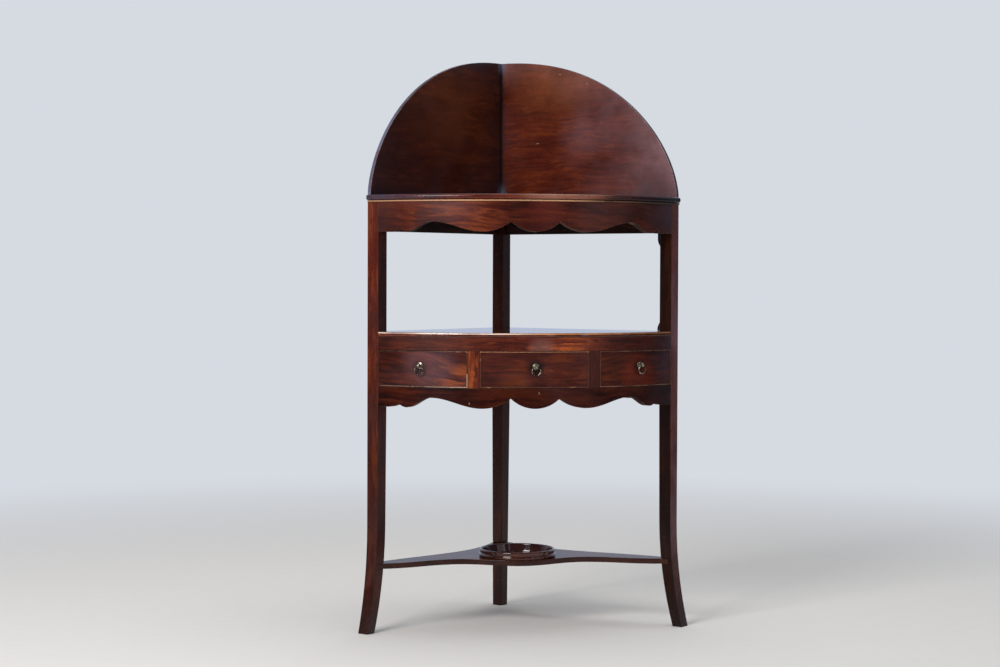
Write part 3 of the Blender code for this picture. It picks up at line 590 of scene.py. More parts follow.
def polished(name, grain, seed, body, deep, light, **look):
    """Polished mahogany: figure, dust and painted shade, rubbed edges, bloom and painted sheen, small
    scratches.

    Look may give flame (its share), warm (middle and half width of the flame on the bow, in degrees), calm
    (how even the figure is), tilt (how the grain dips, in degrees), gloss, specular, relief and the bloom,
    which also paints sheen. Dim is a low and a high level and the brightness at the low one, painted shade
    towards the bottom, and the brightnesses along the bow are painted light and shade. The dust and painted
    shade are given where they gather and their colour. The layers of painted sheen, shade and tint and the
    painted glints are lists, and with rim the light and shade along the bow, the dust and shade and the
    layers stay on the bowed edge. Wear is how worn the edges are, rub their colour and worn_above the level
    where that starts. Crease is the level of a crease's top, where shade and a reflection are painted, and
    lip the radius and the level of a worn upper edge with a painted highlight.
    """
    made, tree, shader, place = blank(name)
    along = grain_place(tree, place, grain, seed, look.get("tilt", 0.0))
    bow = split(tree, bow_coordinates(tree, place))
    parts = split(tree, place)
    across = bow["X"] if grain == "bow" else parts["X"]
    calm = look.get("calm", 0.15)
    inputs = {"Vector": along, "Deep": solid(between(deep, body, calm)), "Body": solid(body)}
    inputs |= {"Light": solid(between(light, body, calm)), "Flame": solid(colours().flame)}
    inputs |= {"Flame share": warm_flame(tree, bow["X"], look)}
    figure = placed_group(tree, "mahogany_figure", inputs)
    polish = placed_group(tree, "old_polish", {"Vector": along, "Gloss": look.get("gloss", 0.27)})
    shown = weathered(tree, figure["Color"], place, across, bow, parts, look)
    # Bloom of old wax, which also paints sheen
    shown = mixed(tree, times(tree, polish["Haze"], look.get("bloom_and_sheen", 0.03)), shown, bloom_and_sheen_tint)
    shown = mixed(tree, times(tree, polish["Scratch"], 0.3), shown, scratch_tint)
    shown = rubbed(tree, shown, place, parts["Z"], look)
    # Painted shade in the crease, with a painted reflection at its ends
    if "crease" in look:
        shown = with_crease_shade_and_reflection(tree, shown, parts, look["crease"])
    # Painted glints
    shown = with_painted_glints(tree, shown, across, parts["Z"], look.get("glints", ()))
    # A worn upper edge with a painted highlight
    if "lip" in look:
        shown = lip_worn_and_highlighted(tree, shown, along, bow, look)
    relief = bump(tree, figure["Height"], look.get("relief", 0.10))
    outputs = {"Base Color": shown, "Roughness": polish["Roughness"], "Normal": relief}
    set_inputs(tree, shader, outputs | {"Specular IOR Level": look.get("specular", 0.26)})
    return made


def red_mahogany(name, grain, seed, **look):
    """The show wood of the front."""
    shades = colours()
    return polished(name, grain, seed, shades.body, shades.deep, shades.light, **look)


def dark_mahogany(name, grain, seed, lift=0.0, **look):
    """The darkened wood of the back, the insides and the sides. Lift brings it towards the show wood."""
    shades = colours()
    body = between(shades.aged, shades.body, lift)
    deep = between(tone(18, 10, 9), shades.deep, lift)
    light = between(tone(56, 29, 19), shades.light, lift)
    return polished(name, grain, seed, body, deep, light, **({"wear": 0.25} | look))


def bead_wear(tree, bow, edges):
    """How worn a cockbead is: its left, right, top and bottom lengths have their own amounts.

    After them come its middle along the bow, and the level above which its right length is hardly worn.
    """
    left, right, top, bottom, middle, broken = edges
    reach = 0.003
    right = ramp(tree, bow["Y"], broken, broken - reach, 0.25, right)
    amount = mixed_value(tree, calc(tree, "GREATER_THAN", bow["X"], middle), left, right)
    amount = mixed_value(tree, calc(tree, "GREATER_THAN", bow["Y"], opening_high - reach), amount, top)
    return mixed_value(tree, calc(tree, "LESS_THAN", bow["Y"], opening_low + reach), amount, bottom)


def pale_bead(name, seed, body, light_and_shade, crest, edges=None):
    """A bead on the bow, worn to bare wood along its crest, which also paints its highlight, with brown
    polish left on its flanks.

    Crest is how far off the face the bare wood starts and is full. Edges are the worn lengths of a cockbead.
    """
    made, tree, shader, place = blank(name)
    along = grain_place(tree, place, "bow", seed)
    bow = split(tree, bow_coordinates(tree, place))
    patch = noise(tree, along, (30, 60, 60), 4, 0.65)
    fleck = noise(tree, along, (160, 700, 700), 2, 0.6)
    amount = bead_wear(tree, bow, edges) if edges else 0.9
    start = calc(tree, "MULTIPLY_ADD", amount, -0.45, 0.72)
    full = calc(tree, "ADD", start, 0.10)
    bare = add(tree, "MapRange", {"Value": patch, "From Min": start, "From Max": full}).outputs[0]
    # The crest: bare wood with a painted highlight
    high = ramp(tree, bow["Z"], face_radius + crest[0], face_radius + crest[1])
    bare = times(tree, bare, high)
    dull = mixed(tree, times(tree, high, 0.45), tone(64, 28, 19), tone(120, 74, 54))
    shown = mixed(tree, bare, dull, body)
    shown = mixed(tree, ramp(tree, fleck, 0.5, 0.75, 0, 0.4), shown, colours().deep)
    # Painted light and shade along the bead
    shown = painted_light_along_bow(tree, shown, bow["X"], light_and_shade)
    outputs = {"Base Color": shown, "Roughness": ramp(tree, bare, 0, 1, 0.3, 0.5)}
    outputs |= {"Normal": bump(tree, fleck, strength=0.15, depth=0.0003), "Specular IOR Level": 0.35}
    set_inputs(tree, shader, outputs)
    return made


def dry_wood(name, grain, seed, body):
    """Bare oak or pine with dusty, darkened edges."""
    made, tree, shader, place = blank(name)
    along = grain_place(tree, place, grain, seed)
    wood = placed_group(tree, "dry_wood", {"Vector": along, "Body": solid(body)})
    dusty = placed_group(tree, "worn_edge", {"Vector": place, "Width": 0.002, "Amount": 0.6})["Mask"]
    shown = mixed(tree, dusty, wood["Color"], between(body, (0.02, 0.012, 0.008), 0.7))
    outputs = {"Base Color": shown, "Roughness": ramp(tree, wood["Height"], 0.6, 1.4, 0.62, 0.82)}
    set_inputs(tree, shader, outputs | {"Normal": bump(tree, wood["Height"], strength=0.25)})
    return made


def old_metal(name, metal, film):
    """Brass or steel with its film and rubbed high spots."""
    made, tree, shader, place = blank(name)
    parts = placed_group(tree, "brass_patina", {"Vector": place, "Metal": solid(metal), "Film": solid(film)})
    outputs = {"Base Color": parts["Color"], "Roughness": parts["Roughness"], "Metallic": 1.0}
    relief = bump(tree, parts["Height"], strength=0.2, depth=0.0002)
    set_inputs(tree, shader, outputs | {"Normal": relief})
    return made


# Modelling


def only(thing):
    """Selects one object and makes it active."""
    bpy.ops.object.select_all(action="DESELECT")
    thing.select_set(True)
    bpy.context.view_layer.objects.active = thing


def smooth(thing, angle=35):
    """Shades a piece smooth, but for its sharp edges, with flat faces kept flat."""
    only(thing)
    bpy.ops.object.shade_smooth_by_angle(angle=radians(angle))
    step = thing.modifiers.new("flat_faces", "WEIGHTED_NORMAL")
    step.keep_sharp = True
    bpy.ops.object.modifier_apply(modifier=step.name)


def ease(thing, size, segments=2):
    """Rounds the sharp edges of a piece."""
    only(thing)
    step = thing.modifiers.new("eased", "BEVEL")
    step.width = size
    step.segments = segments
    step.limit_method = "ANGLE"
    step.angle_limit = radians(sharp_turn)
    bpy.ops.object.modifier_apply(modifier=step.name)


def merged_copy(node, ending="_wood"):
    """A copy of a CAD node with its own welded mesh, ready to be finished."""
    mesh = cad_nodes[node].data.copy()
    mesh.name = node + ending
    mesh.materials.clear()
    thing = bpy.data.objects.new(mesh.name, mesh)
    bpy.context.scene.collection.objects.link(thing)
    only(thing)
    if mesh.has_custom_normals:
        bpy.ops.mesh.customdata_custom_splitnormals_clear()
    bpy.ops.object.mode_set(mode="EDIT")
    bpy.ops.mesh.select_all(action="SELECT")
    bpy.ops.mesh.remove_doubles(threshold=weld)
    bpy.ops.mesh.dissolve_limited(angle_limit=radians(flat_turn))
    bpy.ops.object.mode_set(mode="OBJECT")
    return thing


def finished(node, arris=0, segments=2, angle=35):
    """A CAD node's copy, shaded, with its sharp edges rounded first where an arris is given."""
    thing = merged_copy(node)
    if arris:
        ease(thing, arris, segments)
    smooth(thing, angle)
    return thing


def seat(thing, node, slot, *materials):
    """A finished piece takes a CAD node's place, on its body, with its materials. The slot is not used."""
    for made in materials:
        thing.data.materials.append(made)
    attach(thing, cad_nodes[node]["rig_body"])
    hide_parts(node)


def share_out(thing, chosen):
    """Gives each face of a piece one of its materials, by its number."""
    for face in thing.data.polygons:
        face.material_index = chosen(face)


def coat(node, made):
    """Gives a CAD node that stays as it is its material."""
    cad_nodes[node].data.materials.clear()
    cad_nodes[node].data.materials.append(made)


def on_bow(angle, radius, level):
    """A place on the bow."""
    return Vector((radius * sin(angle), corner_y - radius * cos(angle), level))


def angle_of(place):
    """The angle on the bow of a place."""
    return atan2(place.x, corner_y - place.y)


def swept(name, section, steps, angle, centre, axis):
    """A closed section of points, swept round an axis. After a full round its ends are joined."""
    full = angle == 2 * pi
    bpy.ops.object.select_all(action="DESELECT")
    bpy.ops.mesh.primitive_circle_add(vertices=len(section), fill_type="NOTHING" if full else "NGON")
    thing = bpy.context.object
    thing.name = thing.data.name = name
    for vert, place in zip(thing.data.vertices, section):
        vert.co = place
    bpy.ops.object.mode_set(mode="EDIT")
    bpy.ops.mesh.select_all(action="SELECT")
    bpy.ops.mesh.spin(steps=steps, angle=angle, center=centre, axis=axis)
    bpy.ops.mesh.select_all(action="SELECT")
    if full:
        bpy.ops.mesh.remove_doubles(threshold=weld)
    bpy.ops.mesh.normals_make_consistent(inside=False)
    bpy.ops.object.mode_set(mode="OBJECT")
    return thing


def along_bow(name, section, reach, steps):
    """A section of radius and level points, swept round the back corner as far to the right as the left."""
    points = [on_bow(-reach, radius, level) for radius, level in section]
    return swept(name, points, steps, 2 * reach, (0, corner_y, 0), (0, 0, -1))


def turned(name, profile, place, steps):
    """A profile of radius and height points, turned full round its own axis and set in its place."""
    points = [(radius, 0, height) for radius, height in profile]
    thing = swept(name, points, steps, 2 * pi, (0, 0, 0), (0, 0, 1))
    thing.matrix_world = place
    only(thing)
    bpy.ops.object.transform_apply(location=True, rotation=True, scale=True)
    return thing


def eased_section(near, far, low, high, size):
    """A rectangle of radius and level with its four corners rounded."""
    steps = 3
    corners = ((far - size, low + size, -pi / 2), (far - size, high - size, 0))
    corners += ((near + size, high - size, pi / 2), (near + size, low + size, pi))
    points = []
    for radius, level, start in corners:
        for step in range(steps):
            turn = start + pi / 2 * step / (steps - 1)
            points.append((radius + size * cos(turn), level + size * sin(turn)))
    return points


def rail_angle():
    """The angle at which the bow's face meets the front posts."""
    return pi / 4 - asin(sizes().post / face_radius)


# Scalloped edges, with the places of their points as shares of the way from the middle to a post

cusp_share = 0.15
lobe_share = 0.325
arch_share = 0.6375
small_lobe_share = 0.8
notch_share = 0.85


def half_wave(share, start, end):
    """A smooth S from one height to another as the share goes from nothing to one."""
    return start + (end - start) * (1 - cos(pi * share)) / 2


def lobe(across, half_chord, rise):
    """Height of a round lobe above its lowest point."""
    radius = (half_chord**2 + rise**2) / (2 * rise)
    return radius - sqrt(radius**2 - min(across, half_chord) ** 2)


def scallop(share, notch, reaches, power):
    """Height of the scalloped edge above its lobes, at a share of the way from the middle to a post.

    Notch is how high the small notch rises, reaches the shares that it takes on its two sides, and power how
    pointed it is.
    """
    half = face_radius * rail_angle()
    high = sizes().scallop_rise
    if share <= cusp_share:
        return lobe(share * half, cusp_share * half, high)
    if share <= lobe_share:
        return lobe((lobe_share - share) * half, (lobe_share - cusp_share) * half, high)
    if share <= arch_share:
        return half_wave((share - lobe_share) / (arch_share - lobe_share), 0, high)
    if share <= small_lobe_share:
        return half_wave((share - arch_share) / (small_lobe_share - arch_share), high, 0)
    reach = reaches[0] if share <= notch_share else reaches[1]
    return notch * max(0, 1 - abs(share - notch_share) / reach) ** power


def bowed_rail(node, low, high, notch, shown, hidden):
    """A rail on the bow between the posts, with worn arrises and, if it has a notch, a scalloped edge."""
    size = sizes()
    section = eased_section(face_radius - size.rail, face_radius, low, high, size.arris)
    reach = rail_angle()
    thing = along_bow(node + "_wood", section, reach, size.bow_steps)
    if notch:
        for vert in thing.data.vertices:
            if vert.co.z < (low + high) / 2:
                vert.co.z += scallop(min(1, abs(angle_of(vert.co)) / reach), *notch)
    smooth(thing, angle=40)
    seat(thing, node, "mahogany", shown, hidden)

    # Faces that don't look outwards take the darker back wood, which also paints shade on the rails'
    # undersides
    def chosen(face):
        outward = Vector((face.center.x, face.center.y - corner_y, 0)).normalized()
        return 0 if face.normal.dot(outward) > 0.4 else 1

    share_out(thing, chosen)


# Legs


def front_leg(word, side):
    """One front leg, with dark wood on the faces that look inwards."""
    # Darker and greyer near the floor: painted shade with some dust
    common = {"calm": 0.6, "dirt": {"Level": -0.01, "Height": 0.16}, "dust_and_shade_colour": (38, 31, 31)}
    worn = {"wear": 1.6, "worn_above": shelf_height, "rub": (170, 132, 110)}
    # Dim paints shade towards the bottom
    faces = {
        "left": {"dim": (0.15, 0.72, 0.42), "flame": 0.3},
        # On the right face the bloom also paints a bluish sheen
        "right": {"dim": (0.1, 0.7, 0.5), "flame": 0.12, "bloom_and_sheen": 0.34},
    }
    # Dim paints shade towards the bottom here too
    insides = {"left": {"lift": 0.4}, "right": {"specular": 0.12, "dim": (0.1, 0.8, 0.45), "lift": 0.1}}
    shown = red_mahogany(word + "_post_face", "upright", 3 + side, **common, **worn, **faces[word])
    inner = dark_mahogany(word + "_post_side", "upright", 7 + side, **common, **insides[word], flame=0.05)
    thing = finished(word + "_front_leg", sizes().leg_arris)
    seat(thing, word + "_front_leg", "mahogany", shown, inner)
    front = Vector((side, -1, 0)).normalized()
    share_out(thing, lambda face: 0 if face.normal.dot(front) > 0.6 else 1)


class DRESS_OT_legs(bpy.types.Operator):
    """Finishes the three legs"""

    bl_idname = "dress.legs"
    bl_label = "Legs"

    def execute(self, context):
        for word, side in sides.items():
            front_leg(word, side)
        look = {"calm": 0.7, "specular": 0.2, "flame": 0.03, "lift": 0.2}
        face = dark_mahogany("rear_post", "upright", 12, **look)
        seat(finished("rear_leg", sizes().leg_arris), "rear_leg", "mahogany", face)
        return {"FINISHED"}


# Bowed rails

# Brightnesses along the bow paint light and shade; layers paint sheen, shade and some tint; glints are
# painted
rail_looks = {
    "top_frieze": {
        "flame": 0.5, "tilt": 4, "calm": 0.4, "warm": (-22, 20),
        "light_and_shade": (0.48, 0.74, 0.86, 0.74, 0.66, 0.62, 0.54, 0.36),
        "films": (
            (-0.15, 0.838, 0.07, 0.02, 0.2, (112, 84, 94)),
            (-0.27, 0.835, 0.06, 0.01, 0.3, (128, 50, 30)),
            (-0.30, 0.798, 0.06, 0.015, 0.5, (48, 28, 27)),
            (0.02, 0.820, 0.05, 0.01, 0.3, (120, 42, 28)),
            (0.125, 0.826, 0.03, 0.008, 0.4, (56, 30, 34)),
            (0.24, 0.838, 0.06, 0.02, 0.5, (38, 22, 18)),
            (0.335, 0.83, 0.12, 0.04, 0.7, (54, 40, 48)),
        ),
    },
    "drawer_rail": {
        "flame": 0.85, "tilt": 2, "calm": 0.35, "warm": (-1, 20),
        "light_and_shade": (0.72, 0.66, 0.8, 1.35, 1.4, 0.85, 0.6, 0.4),
        "films": (
            (0.012, 0.554, 0.035, 0.01, 0.3, (150, 112, 106)),
            (0.335, 0.565, 0.09, 0.03, 0.7, (50, 40, 50)),
        ),
    },
    "scalloped_apron": {
        "flame": 0.08, "specular": 0.16,
        "light_and_shade": (0.5, 0.42, 0.36, 0.36, 0.36, 0.34, 0.3, 0.22),
        "films": ((0.335, 0.46, 0.12, 0.04, 0.65, (42, 32, 37)),),
        "glints": ((-0.127, 0.4513, 0.0011, 0.0022), (0.0067, 0.4713, 0.0010, 0.0022)),
    },
}


class DRESS_OT_bowed_rails(bpy.types.Operator):
    """Models the frieze, the drawer rail and the apron on the bow"""

    bl_idname = "dress.bowed_rails"
    bl_label = "Bowed rails"

    def execute(self, context):
        frieze_notch = (sizes().frieze_notch, (0.034, 0.034), 1.1)
        apron_notch = (sizes().apron_notch, (0.05, 0.075), 1.8)
        forms = {
            "top_frieze": (frieze_low, frieze_high, frieze_notch),
            "drawer_rail": (opening_high, shelf_under, None),
            "scalloped_apron": (apron_low, opening_low, apron_notch),
        }
        # Darker back wood, which also paints shade under the rails
        hidden = dark_mahogany("rail_back_and_underside_shade", "bow", 27, gloss=0.55, specular=0.08)
        for number, (node, form) in enumerate(forms.items()):
            look = rail_looks[node] | {"wear": 0.8, "rub": (140, 110, 78)}
            shown = red_mahogany(node + "_face", "bow", 21 + 4 * number, **look)
            bowed_rail(node, *form, shown, hidden)
        return {"FINISHED"}


# Boards and the bead under the top

# Brightnesses along the bow paint light and shade; the top's layers paint a bluish reflection, a highlight
# and shade
board_looks = {
    "top_board": {
        "gloss": 0.16,
        "light_and_shade": (0.6, 0.7, 1.1, 1.5, 1.45, 0.7, 0.35, 0.25),
        "films": (
            (-0.34, 0.855, 0.24, 0.06, 0.6, (66, 68, 88)),
            (0.06, 0.855, 0.12, 0.03, 0.35, (196, 146, 124)),
            (0.33, 0.855, 0.22, 0.14, 0.95, (30, 28, 36)),
        ),
    },
    "middle_shelf": {
        "gloss": 0.03, "relief": 0.0, "specular": 0.6,
        "light_and_shade": (0.9, 1.0, 1.15, 1.15, 1.0, 0.85, 0.6, 0.3),
        "lip": (face_radius, shelf_height - 0.0030),
    },
}


class DRESS_OT_boards(bpy.types.Operator):
    """Finishes the top board and the middle shelf"""

    bl_idname = "dress.boards"
    bl_label = "Boards"

    def execute(self, context):
        for number, (node, look) in enumerate(board_looks.items()):
            look = look | {"flame": 0.2, "calm": 0.5, "rim": True}
            face = red_mahogany(node + "_face", "across", 31 + 4 * number, **look)
            seat(finished(node), node, "mahogany", face)
        return {"FINISHED"}


class DRESS_OT_top_bead(bpy.types.Operator):
    """Models the pale half-round bead under the top's edge"""

    bl_idname = "dress.top_bead"
    bl_label = "Top bead"

    def execute(self, context):
        size = sizes()
        low, high = (corner.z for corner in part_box("top_bead"))
        steps = 8
        seat_radius = face_radius + size.arris / 2
        reach = size.bead_reach - size.arris / 2
        section = []
        for step in range(steps + 1):
            turn = pi * (step / steps - 0.5)
            section.append((seat_radius + reach * cos(turn), (low + high) / 2 + (high - low) / 2 * sin(turn)))
        end = pi / 4 - asin(size.bead_reach / face_radius)
        thing = along_bow("top_bead_wood", section, end, size.bow_steps // 2)
        smooth(thing, angle=50)
        # Painted light and shade along the top bead, darkest at its right end
        light_and_shade = (0.7, 0.85, 1.15, 0.85, 1.1, 0.28, 0.1, 0.08)
        face = pale_bead("top_bead_face", 41, colours().straw, light_and_shade, (0.0012, 0.0020))
        seat(thing, "top_bead", "bead_wood", face)
        return {"FINISHED"}


# Gallery

# The panels' layers paint shade, a pale sheen and some orange tint; the glints are painted highlights
gallery_looks = {
    "left": {
        "lift": 0.4, "flame": 0.14,
        "films": (
            (-0.13, 0.99, 0.07, 0.21, 0.8, (40, 30, 35)),
            (-0.13, 1.03, 0.14, 0.03, 0.5, (98, 50, 25)),
        ),
    },
    "right": {
        "lift": 0.95, "flame": 0.16, "bloom_and_sheen": 0.1,
        "films": (
            (0.05, 0.95, 0.12, 0.28, 0.78, (148, 116, 122)),
            (0.16, 0.99, 0.07, 0.01, 0.25, (142, 112, 122)),
            (0.10, 1.11, 0.12, 0.02, 0.35, (150, 88, 50)),
            (0.27, 0.855, 0.07, 0.01, 0.7, (44, 40, 48)),
        ),
        "glints": (
            (0.105, 1.109, 0.0030, 0.0008),
            (0.152, 1.087, 0.0008, 0.0015),
            (0.066, 0.969, 0.0035, 0.0007),
        ),
    },
}
mitre_gap = 0.0004
# A layer on each panel's edge: a painted bluish reflection on the left and painted shade on the right
gallery_edge_films = {
    "left": (-0.31, 0.86, 0.30, 0.06, 0.75, (122, 124, 150)),
    "right": (0.2, 1.0, 0.3, 0.0, 0.8, (44, 46, 56)),
}


def gallery_panel(word, side):
    """One arched panel, with its own woods for the face, the rubbed edge and the back."""
    node = "gallery_" + word
    grain = word + "_wall"
    # Edges rubbed a pale pink: worn wood with a painted highlight
    worn = {"wear": 0.8, "rub": (206, 178, 176)}
    shown = {"calm": 0.6, "crease": gallery_top}
    # Painted shade with some dust at the gallery's foot and in its corner
    shown |= {"dirt": {"Level": top_height, "Height": 0.03, "Middle": 0.010}}
    hidden = {"gloss": 0.45, "specular": 0.15, "calm": 0.5, "flame": 0.08}
    face = dark_mahogany(node + "_face", grain, 50 + side, **worn, **shown, **gallery_looks[word])
    edge = dark_mahogany(node + "_edge", grain, 54 + side, **worn, films=(gallery_edge_films[word],))
    back = dark_mahogany(node + "_back", grain, 58 + side, **hidden)
    thing = finished(node)
    seat(thing, node, "dark_mahogany", face, edge, back)
    # The mitre in the corner is closed, so that no light shows through it
    for vert in thing.data.vertices:
        if abs(vert.co.x) < mitre_gap:
            vert.co.x = 0
    inward = Vector((-side, -1, 0)).normalized()

    def chosen(part):
        turn = part.normal.dot(inward)
        return 0 if turn > 0.5 else 2 if turn < -0.5 else 1

    share_out(thing, chosen)


class DRESS_OT_gallery(bpy.types.Operator):
    """Finishes the two arched panels of the gallery, their rubbed edges with painted highlights, reflection
    and shade
    """

    bl_idname = "dress.gallery"
    bl_label = "Gallery"

    def execute(self, context):
        for word, side in sides.items():
            gallery_panel(word, side)
        return {"FINISHED"}


# Straight sides and brackets


class DRESS_OT_straight_sides(bpy.types.Operator):
    """Finishes the rails and panels of the two straight sides"""

    bl_idname = "dress.straight_sides"
    bl_label = "Straight sides"

    def execute(self, context):
        look = {"wear": 0.3, "gloss": 0.45, "specular": 0.15, "calm": 0.4, "flame": 0.1}
        for word, side in sides.items():
            face = dark_mahogany(word + "_side_face", word + "_wall", 60 + side, **look)
            for node in ("top_rail_" + word, "side_panel_" + word):
                seat(finished(node, sizes().arris), node, "dark_mahogany", face)
        return {"FINISHED"}


class DRESS_OT_brackets(bpy.types.Operator):
    """Narrows and finishes the shaped brackets behind the front posts"""

    bl_idname = "dress.brackets"
    bl_label = "Brackets"

    def execute(self, context):
        for word, side in sides.items():
            face = dark_mahogany(word + "_bracket_face", "upright", 70 + side, wear=0.4, flame=0.05)
            along = Vector((side, -1, 0)).normalized()
            for node in ("upper_bracket_" + word, "lower_bracket_" + word):
                thing = merged_copy(node)
                post_end = max(vert.co.dot(along) for vert in thing.data.vertices)
                for vert in thing.data.vertices:
                    vert.co += along * (post_end - vert.co.dot(along)) * (1 - sizes().bracket_share)
                ease(thing, sizes().arris)
                smooth(thing)
                seat(thing, node, "dark_mahogany", face)
        return {"FINISHED"}


# Fronts, dividers and cockbeads

# How far under its post the shadow painted round a pull lies, and how far a cockbead is rounded, as a share
# of its width
shadow_drop = 0.004
round_share = 0.36


def front_looks(pull, level):
    """The looks of the fronts from the left, given how far along the side pulls are, and their level."""
    # Brightnesses along the bow paint light and shade; layers paint sheen, shade and orange tint
    return {
        "dummy_front_left": {
            "flame": 0.95, "tilt": 8, "calm": 0.25, "warm": (-20, 9), "bloom_and_sheen": 0.06,
            "light_and_shade": (0.66, 0.70, 0.9, 1.05, 1.0, 1.0),
            "films": ((-pull + 0.02, level + 0.015, 0.07, 0.01, 0.3, (136, 104, 118)),),
        },
        "drawer_front": {
            "flame": 0.25, "tilt": 2, "calm": 0.4,
            "light_and_shade": (1.0, 0.85, 0.76, 0.70, 0.70, 1.0),
            "films": ((-0.04, opening_low, 0.045, 0.01, 0.3, (140, 66, 32)),),
        },
        "dummy_front_right": {
            "flame": 0.25, "tilt": -3, "calm": 0.35,
            "light_and_shade": (1.0, 1.0, 1.0, 0.50, 0.50),
            "films": (
                (pull - 0.005, opening_low + 0.018, 0.06, 0.015, 0.5, (122, 44, 24)),
                (0.335, 0.535, 0.10, 0.03, 0.75, (56, 42, 52)),
            ),
        },
    }


class DRESS_OT_fronts(bpy.types.Operator):
    """Finishes the drawer front and the two dummy fronts, each with its own figure and a shadow painted round
    its pull
    """

    bl_idname = "dress.fronts"
    bl_label = "Fronts"

    def execute(self, context):
        low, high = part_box("pull_post_left")
        pull = -angle_of((low + high) / 2) * face_radius
        level = (low.z + high.z) / 2 - shadow_drop
        for number, (node, look) in enumerate(front_looks(pull, level).items()):
            # A painted shadow round each pull
            look["films"] += (((number - 1) * pull, level, 0.022, 0.006, 0.85, (18, 12, 12)),)
            face = red_mahogany(node + "_face", "bow", 81 + 4 * number, **look)
            seat(finished(node), node, "mahogany", face)
        return {"FINISHED"}


class DRESS_OT_dividers(bpy.types.Operator):
    """Finishes the upright dividers between the fronts"""

    bl_idname = "dress.dividers"
    bl_label = "Dividers"

    def execute(self, context):
        looks = {
            "left": {"flame": 0.85, "calm": 0.4},
            # Painted shade darkens the right divider towards its right
            "right": {"flame": 0.1, "calm": 0.6, "light_and_shade": (1.0, 1.0, 1.0, 0.75, 0.75, 0.75)},
        }
        for word, side in sides.items():
            node = "divider_" + word
            face = red_mahogany(node + "_face", "upright", 92 + side, **looks[word])
            seat(finished(node), node, "mahogany", face)
        return {"FINISHED"}


class DRESS_OT_cockbeads(bpy.types.Operator):
    """Rounds the cockbeads, each with its own worn lengths"""

    bl_idname = "dress.cockbeads"
    bl_label = "Cockbeads"

    def execute(self, context):
        whole = opening_high + 0.01
        broken = opening_low + (opening_high - opening_low) * 0.4
        # Painted light and shade along the cockbeads
        light_and_shade = (0.45, 0.5, 1.25, 1.1, 1.0, 1.0, 0.9, 0.8)
        crest = (0.00062, 0.00088)
        # How worn each bead's left, right, top and bottom lengths are, where the right one ends, its colour
        beads = {
            "cockbead_left": (0.5, 1.0, 0.3, 0.75, broken, (176, 146, 128)),
            "drawer_cockbead": (0.4, 0.3, 0.8, 0.35, whole, (160, 108, 74)),
            "cockbead_right": (0.35, 0.3, 0.5, 0.6, whole, (132, 92, 72)),
        }
        for number, (node, (*worn, end, body)) in enumerate(beads.items()):
            turns = [angle_of(vert.co) for vert in cad_nodes[node].data.vertices]
            middle = (min(turns) + max(turns)) / 2 * face_radius
            edges = (*worn, middle, end)
            face = pale_bead(node + "_face", 101 + number, tone(*body), light_and_shade, crest, edges)
            thing = finished(node, sizes().cockbead * round_share, segments=3, angle=50)
            seat(thing, node, "bead_wood", face)
        return {"FINISHED"}


# Hidden woods


class DRESS_OT_drawer_lining(bpy.types.Operator):
    """Finishes the drawer's oak sides, back and bottom"""

    bl_idname = "dress.drawer_lining"
    bl_label = "Drawer lining"

    def execute(self, context):
        grains = {"side_left": "ahead", "side_right": "ahead", "back": "across", "bottom": "across"}
        for number, (part, grain) in enumerate(grains.items()):
            node = "drawer_" + part
            bare = dry_wood(node + "_oak", grain, 111 + number, colours().oak)
            seat(finished(node, angle=30), node, "oak", bare)
        return {"FINISHED"}


class DRESS_OT_bearers(bpy.types.Operator):
    """Finishes the runners, guides, kickers and stops of the drawer"""

    bl_idname = "dress.bearers"
    bl_label = "Bearers"

    def execute(self, context):
        for word, side in sides.items():
            bare = dry_wood(word + "_bearer_oak", "ahead", 121 + side, colours().oak)
            for kind in ("runner_", "guide_", "kicker_", "drawer_stop_"):
                coat(kind + word, bare)
        return {"FINISHED"}


class DRESS_OT_glue_blocks(bpy.types.Operator):
    """Finishes the pine blocks glued under the boards and behind the dummy fronts"""

    bl_idname = "dress.glue_blocks"
    bl_label = "Glue blocks"

    def execute(self, context):
        for word, side in sides.items():
            along = dry_wood(word + "_block_pine", word + "_wall", 131 + side, colours().pine)
            upright = dry_wood(word + "_upright_block_pine", "upright", 135 + side, colours().pine)
            coat("top_glue_block_" + word, along)
            coat("shelf_glue_block_" + word, along)
            coat("dummy_front_block_" + word, upright)
        return {"FINISHED"}


# Undertier and its ring


class DRESS_OT_undertier(bpy.types.Operator):
    """Finishes the shaped undertier, its two sides glossier than its edge"""

    bl_idname = "dress.undertier"
    bl_label = "Undertier"

    def execute(self, context):
        look = {"lift": 0.3, "flame": 0.1, "gloss": 0.12, "wear": 0.25, "relief": 0.02, "specular": 0.03}
        face = dark_mahogany("undertier_face", "across", 141, **look)
        look = {"lift": 0.2, "flame": 0.03, "calm": 0.6, "gloss": 0.2, "wear": 0.35, "rub": (130, 104, 96)}
        edge = dark_mahogany("undertier_edge", "across", 143, **look)
        thing = finished("undertier")
        seat(thing, "undertier", "mahogany", face, edge)
        share_out(thing, lambda part: 0 if abs(part.normal.z) > 0.5 else 1)
        return {"FINISHED"}


def ring_profile(radius, wall, tall):
    """Half round lip over a hollow and a half round foot, as radius and height points from the inside out."""
    steps = 10
    inner = radius - wall
    lip = wall * 0.28
    bead = wall * 0.2
    profile = [(inner, 0), (inner + wall * 0.1, tall * 0.2), (inner + wall * 0.2, tall * 0.5)]
    for step in range(steps + 1):
        turn = pi * step / steps
        profile.append((radius - wall * 0.42 - lip * cos(turn), tall - lip + lip * sin(turn)))
    profile += [(radius - wall * 0.20, tall * 0.60), (radius - wall * 0.25, tall * 0.50)]
    for step in range(steps + 1):
        turn = pi * (0.5 - step / steps)
        profile.append((radius - bead + bead * cos(turn), tall * 0.23 + tall * 0.2 * sin(turn)))
    profile += [(radius - wall * 0.12, 0)]
    return profile


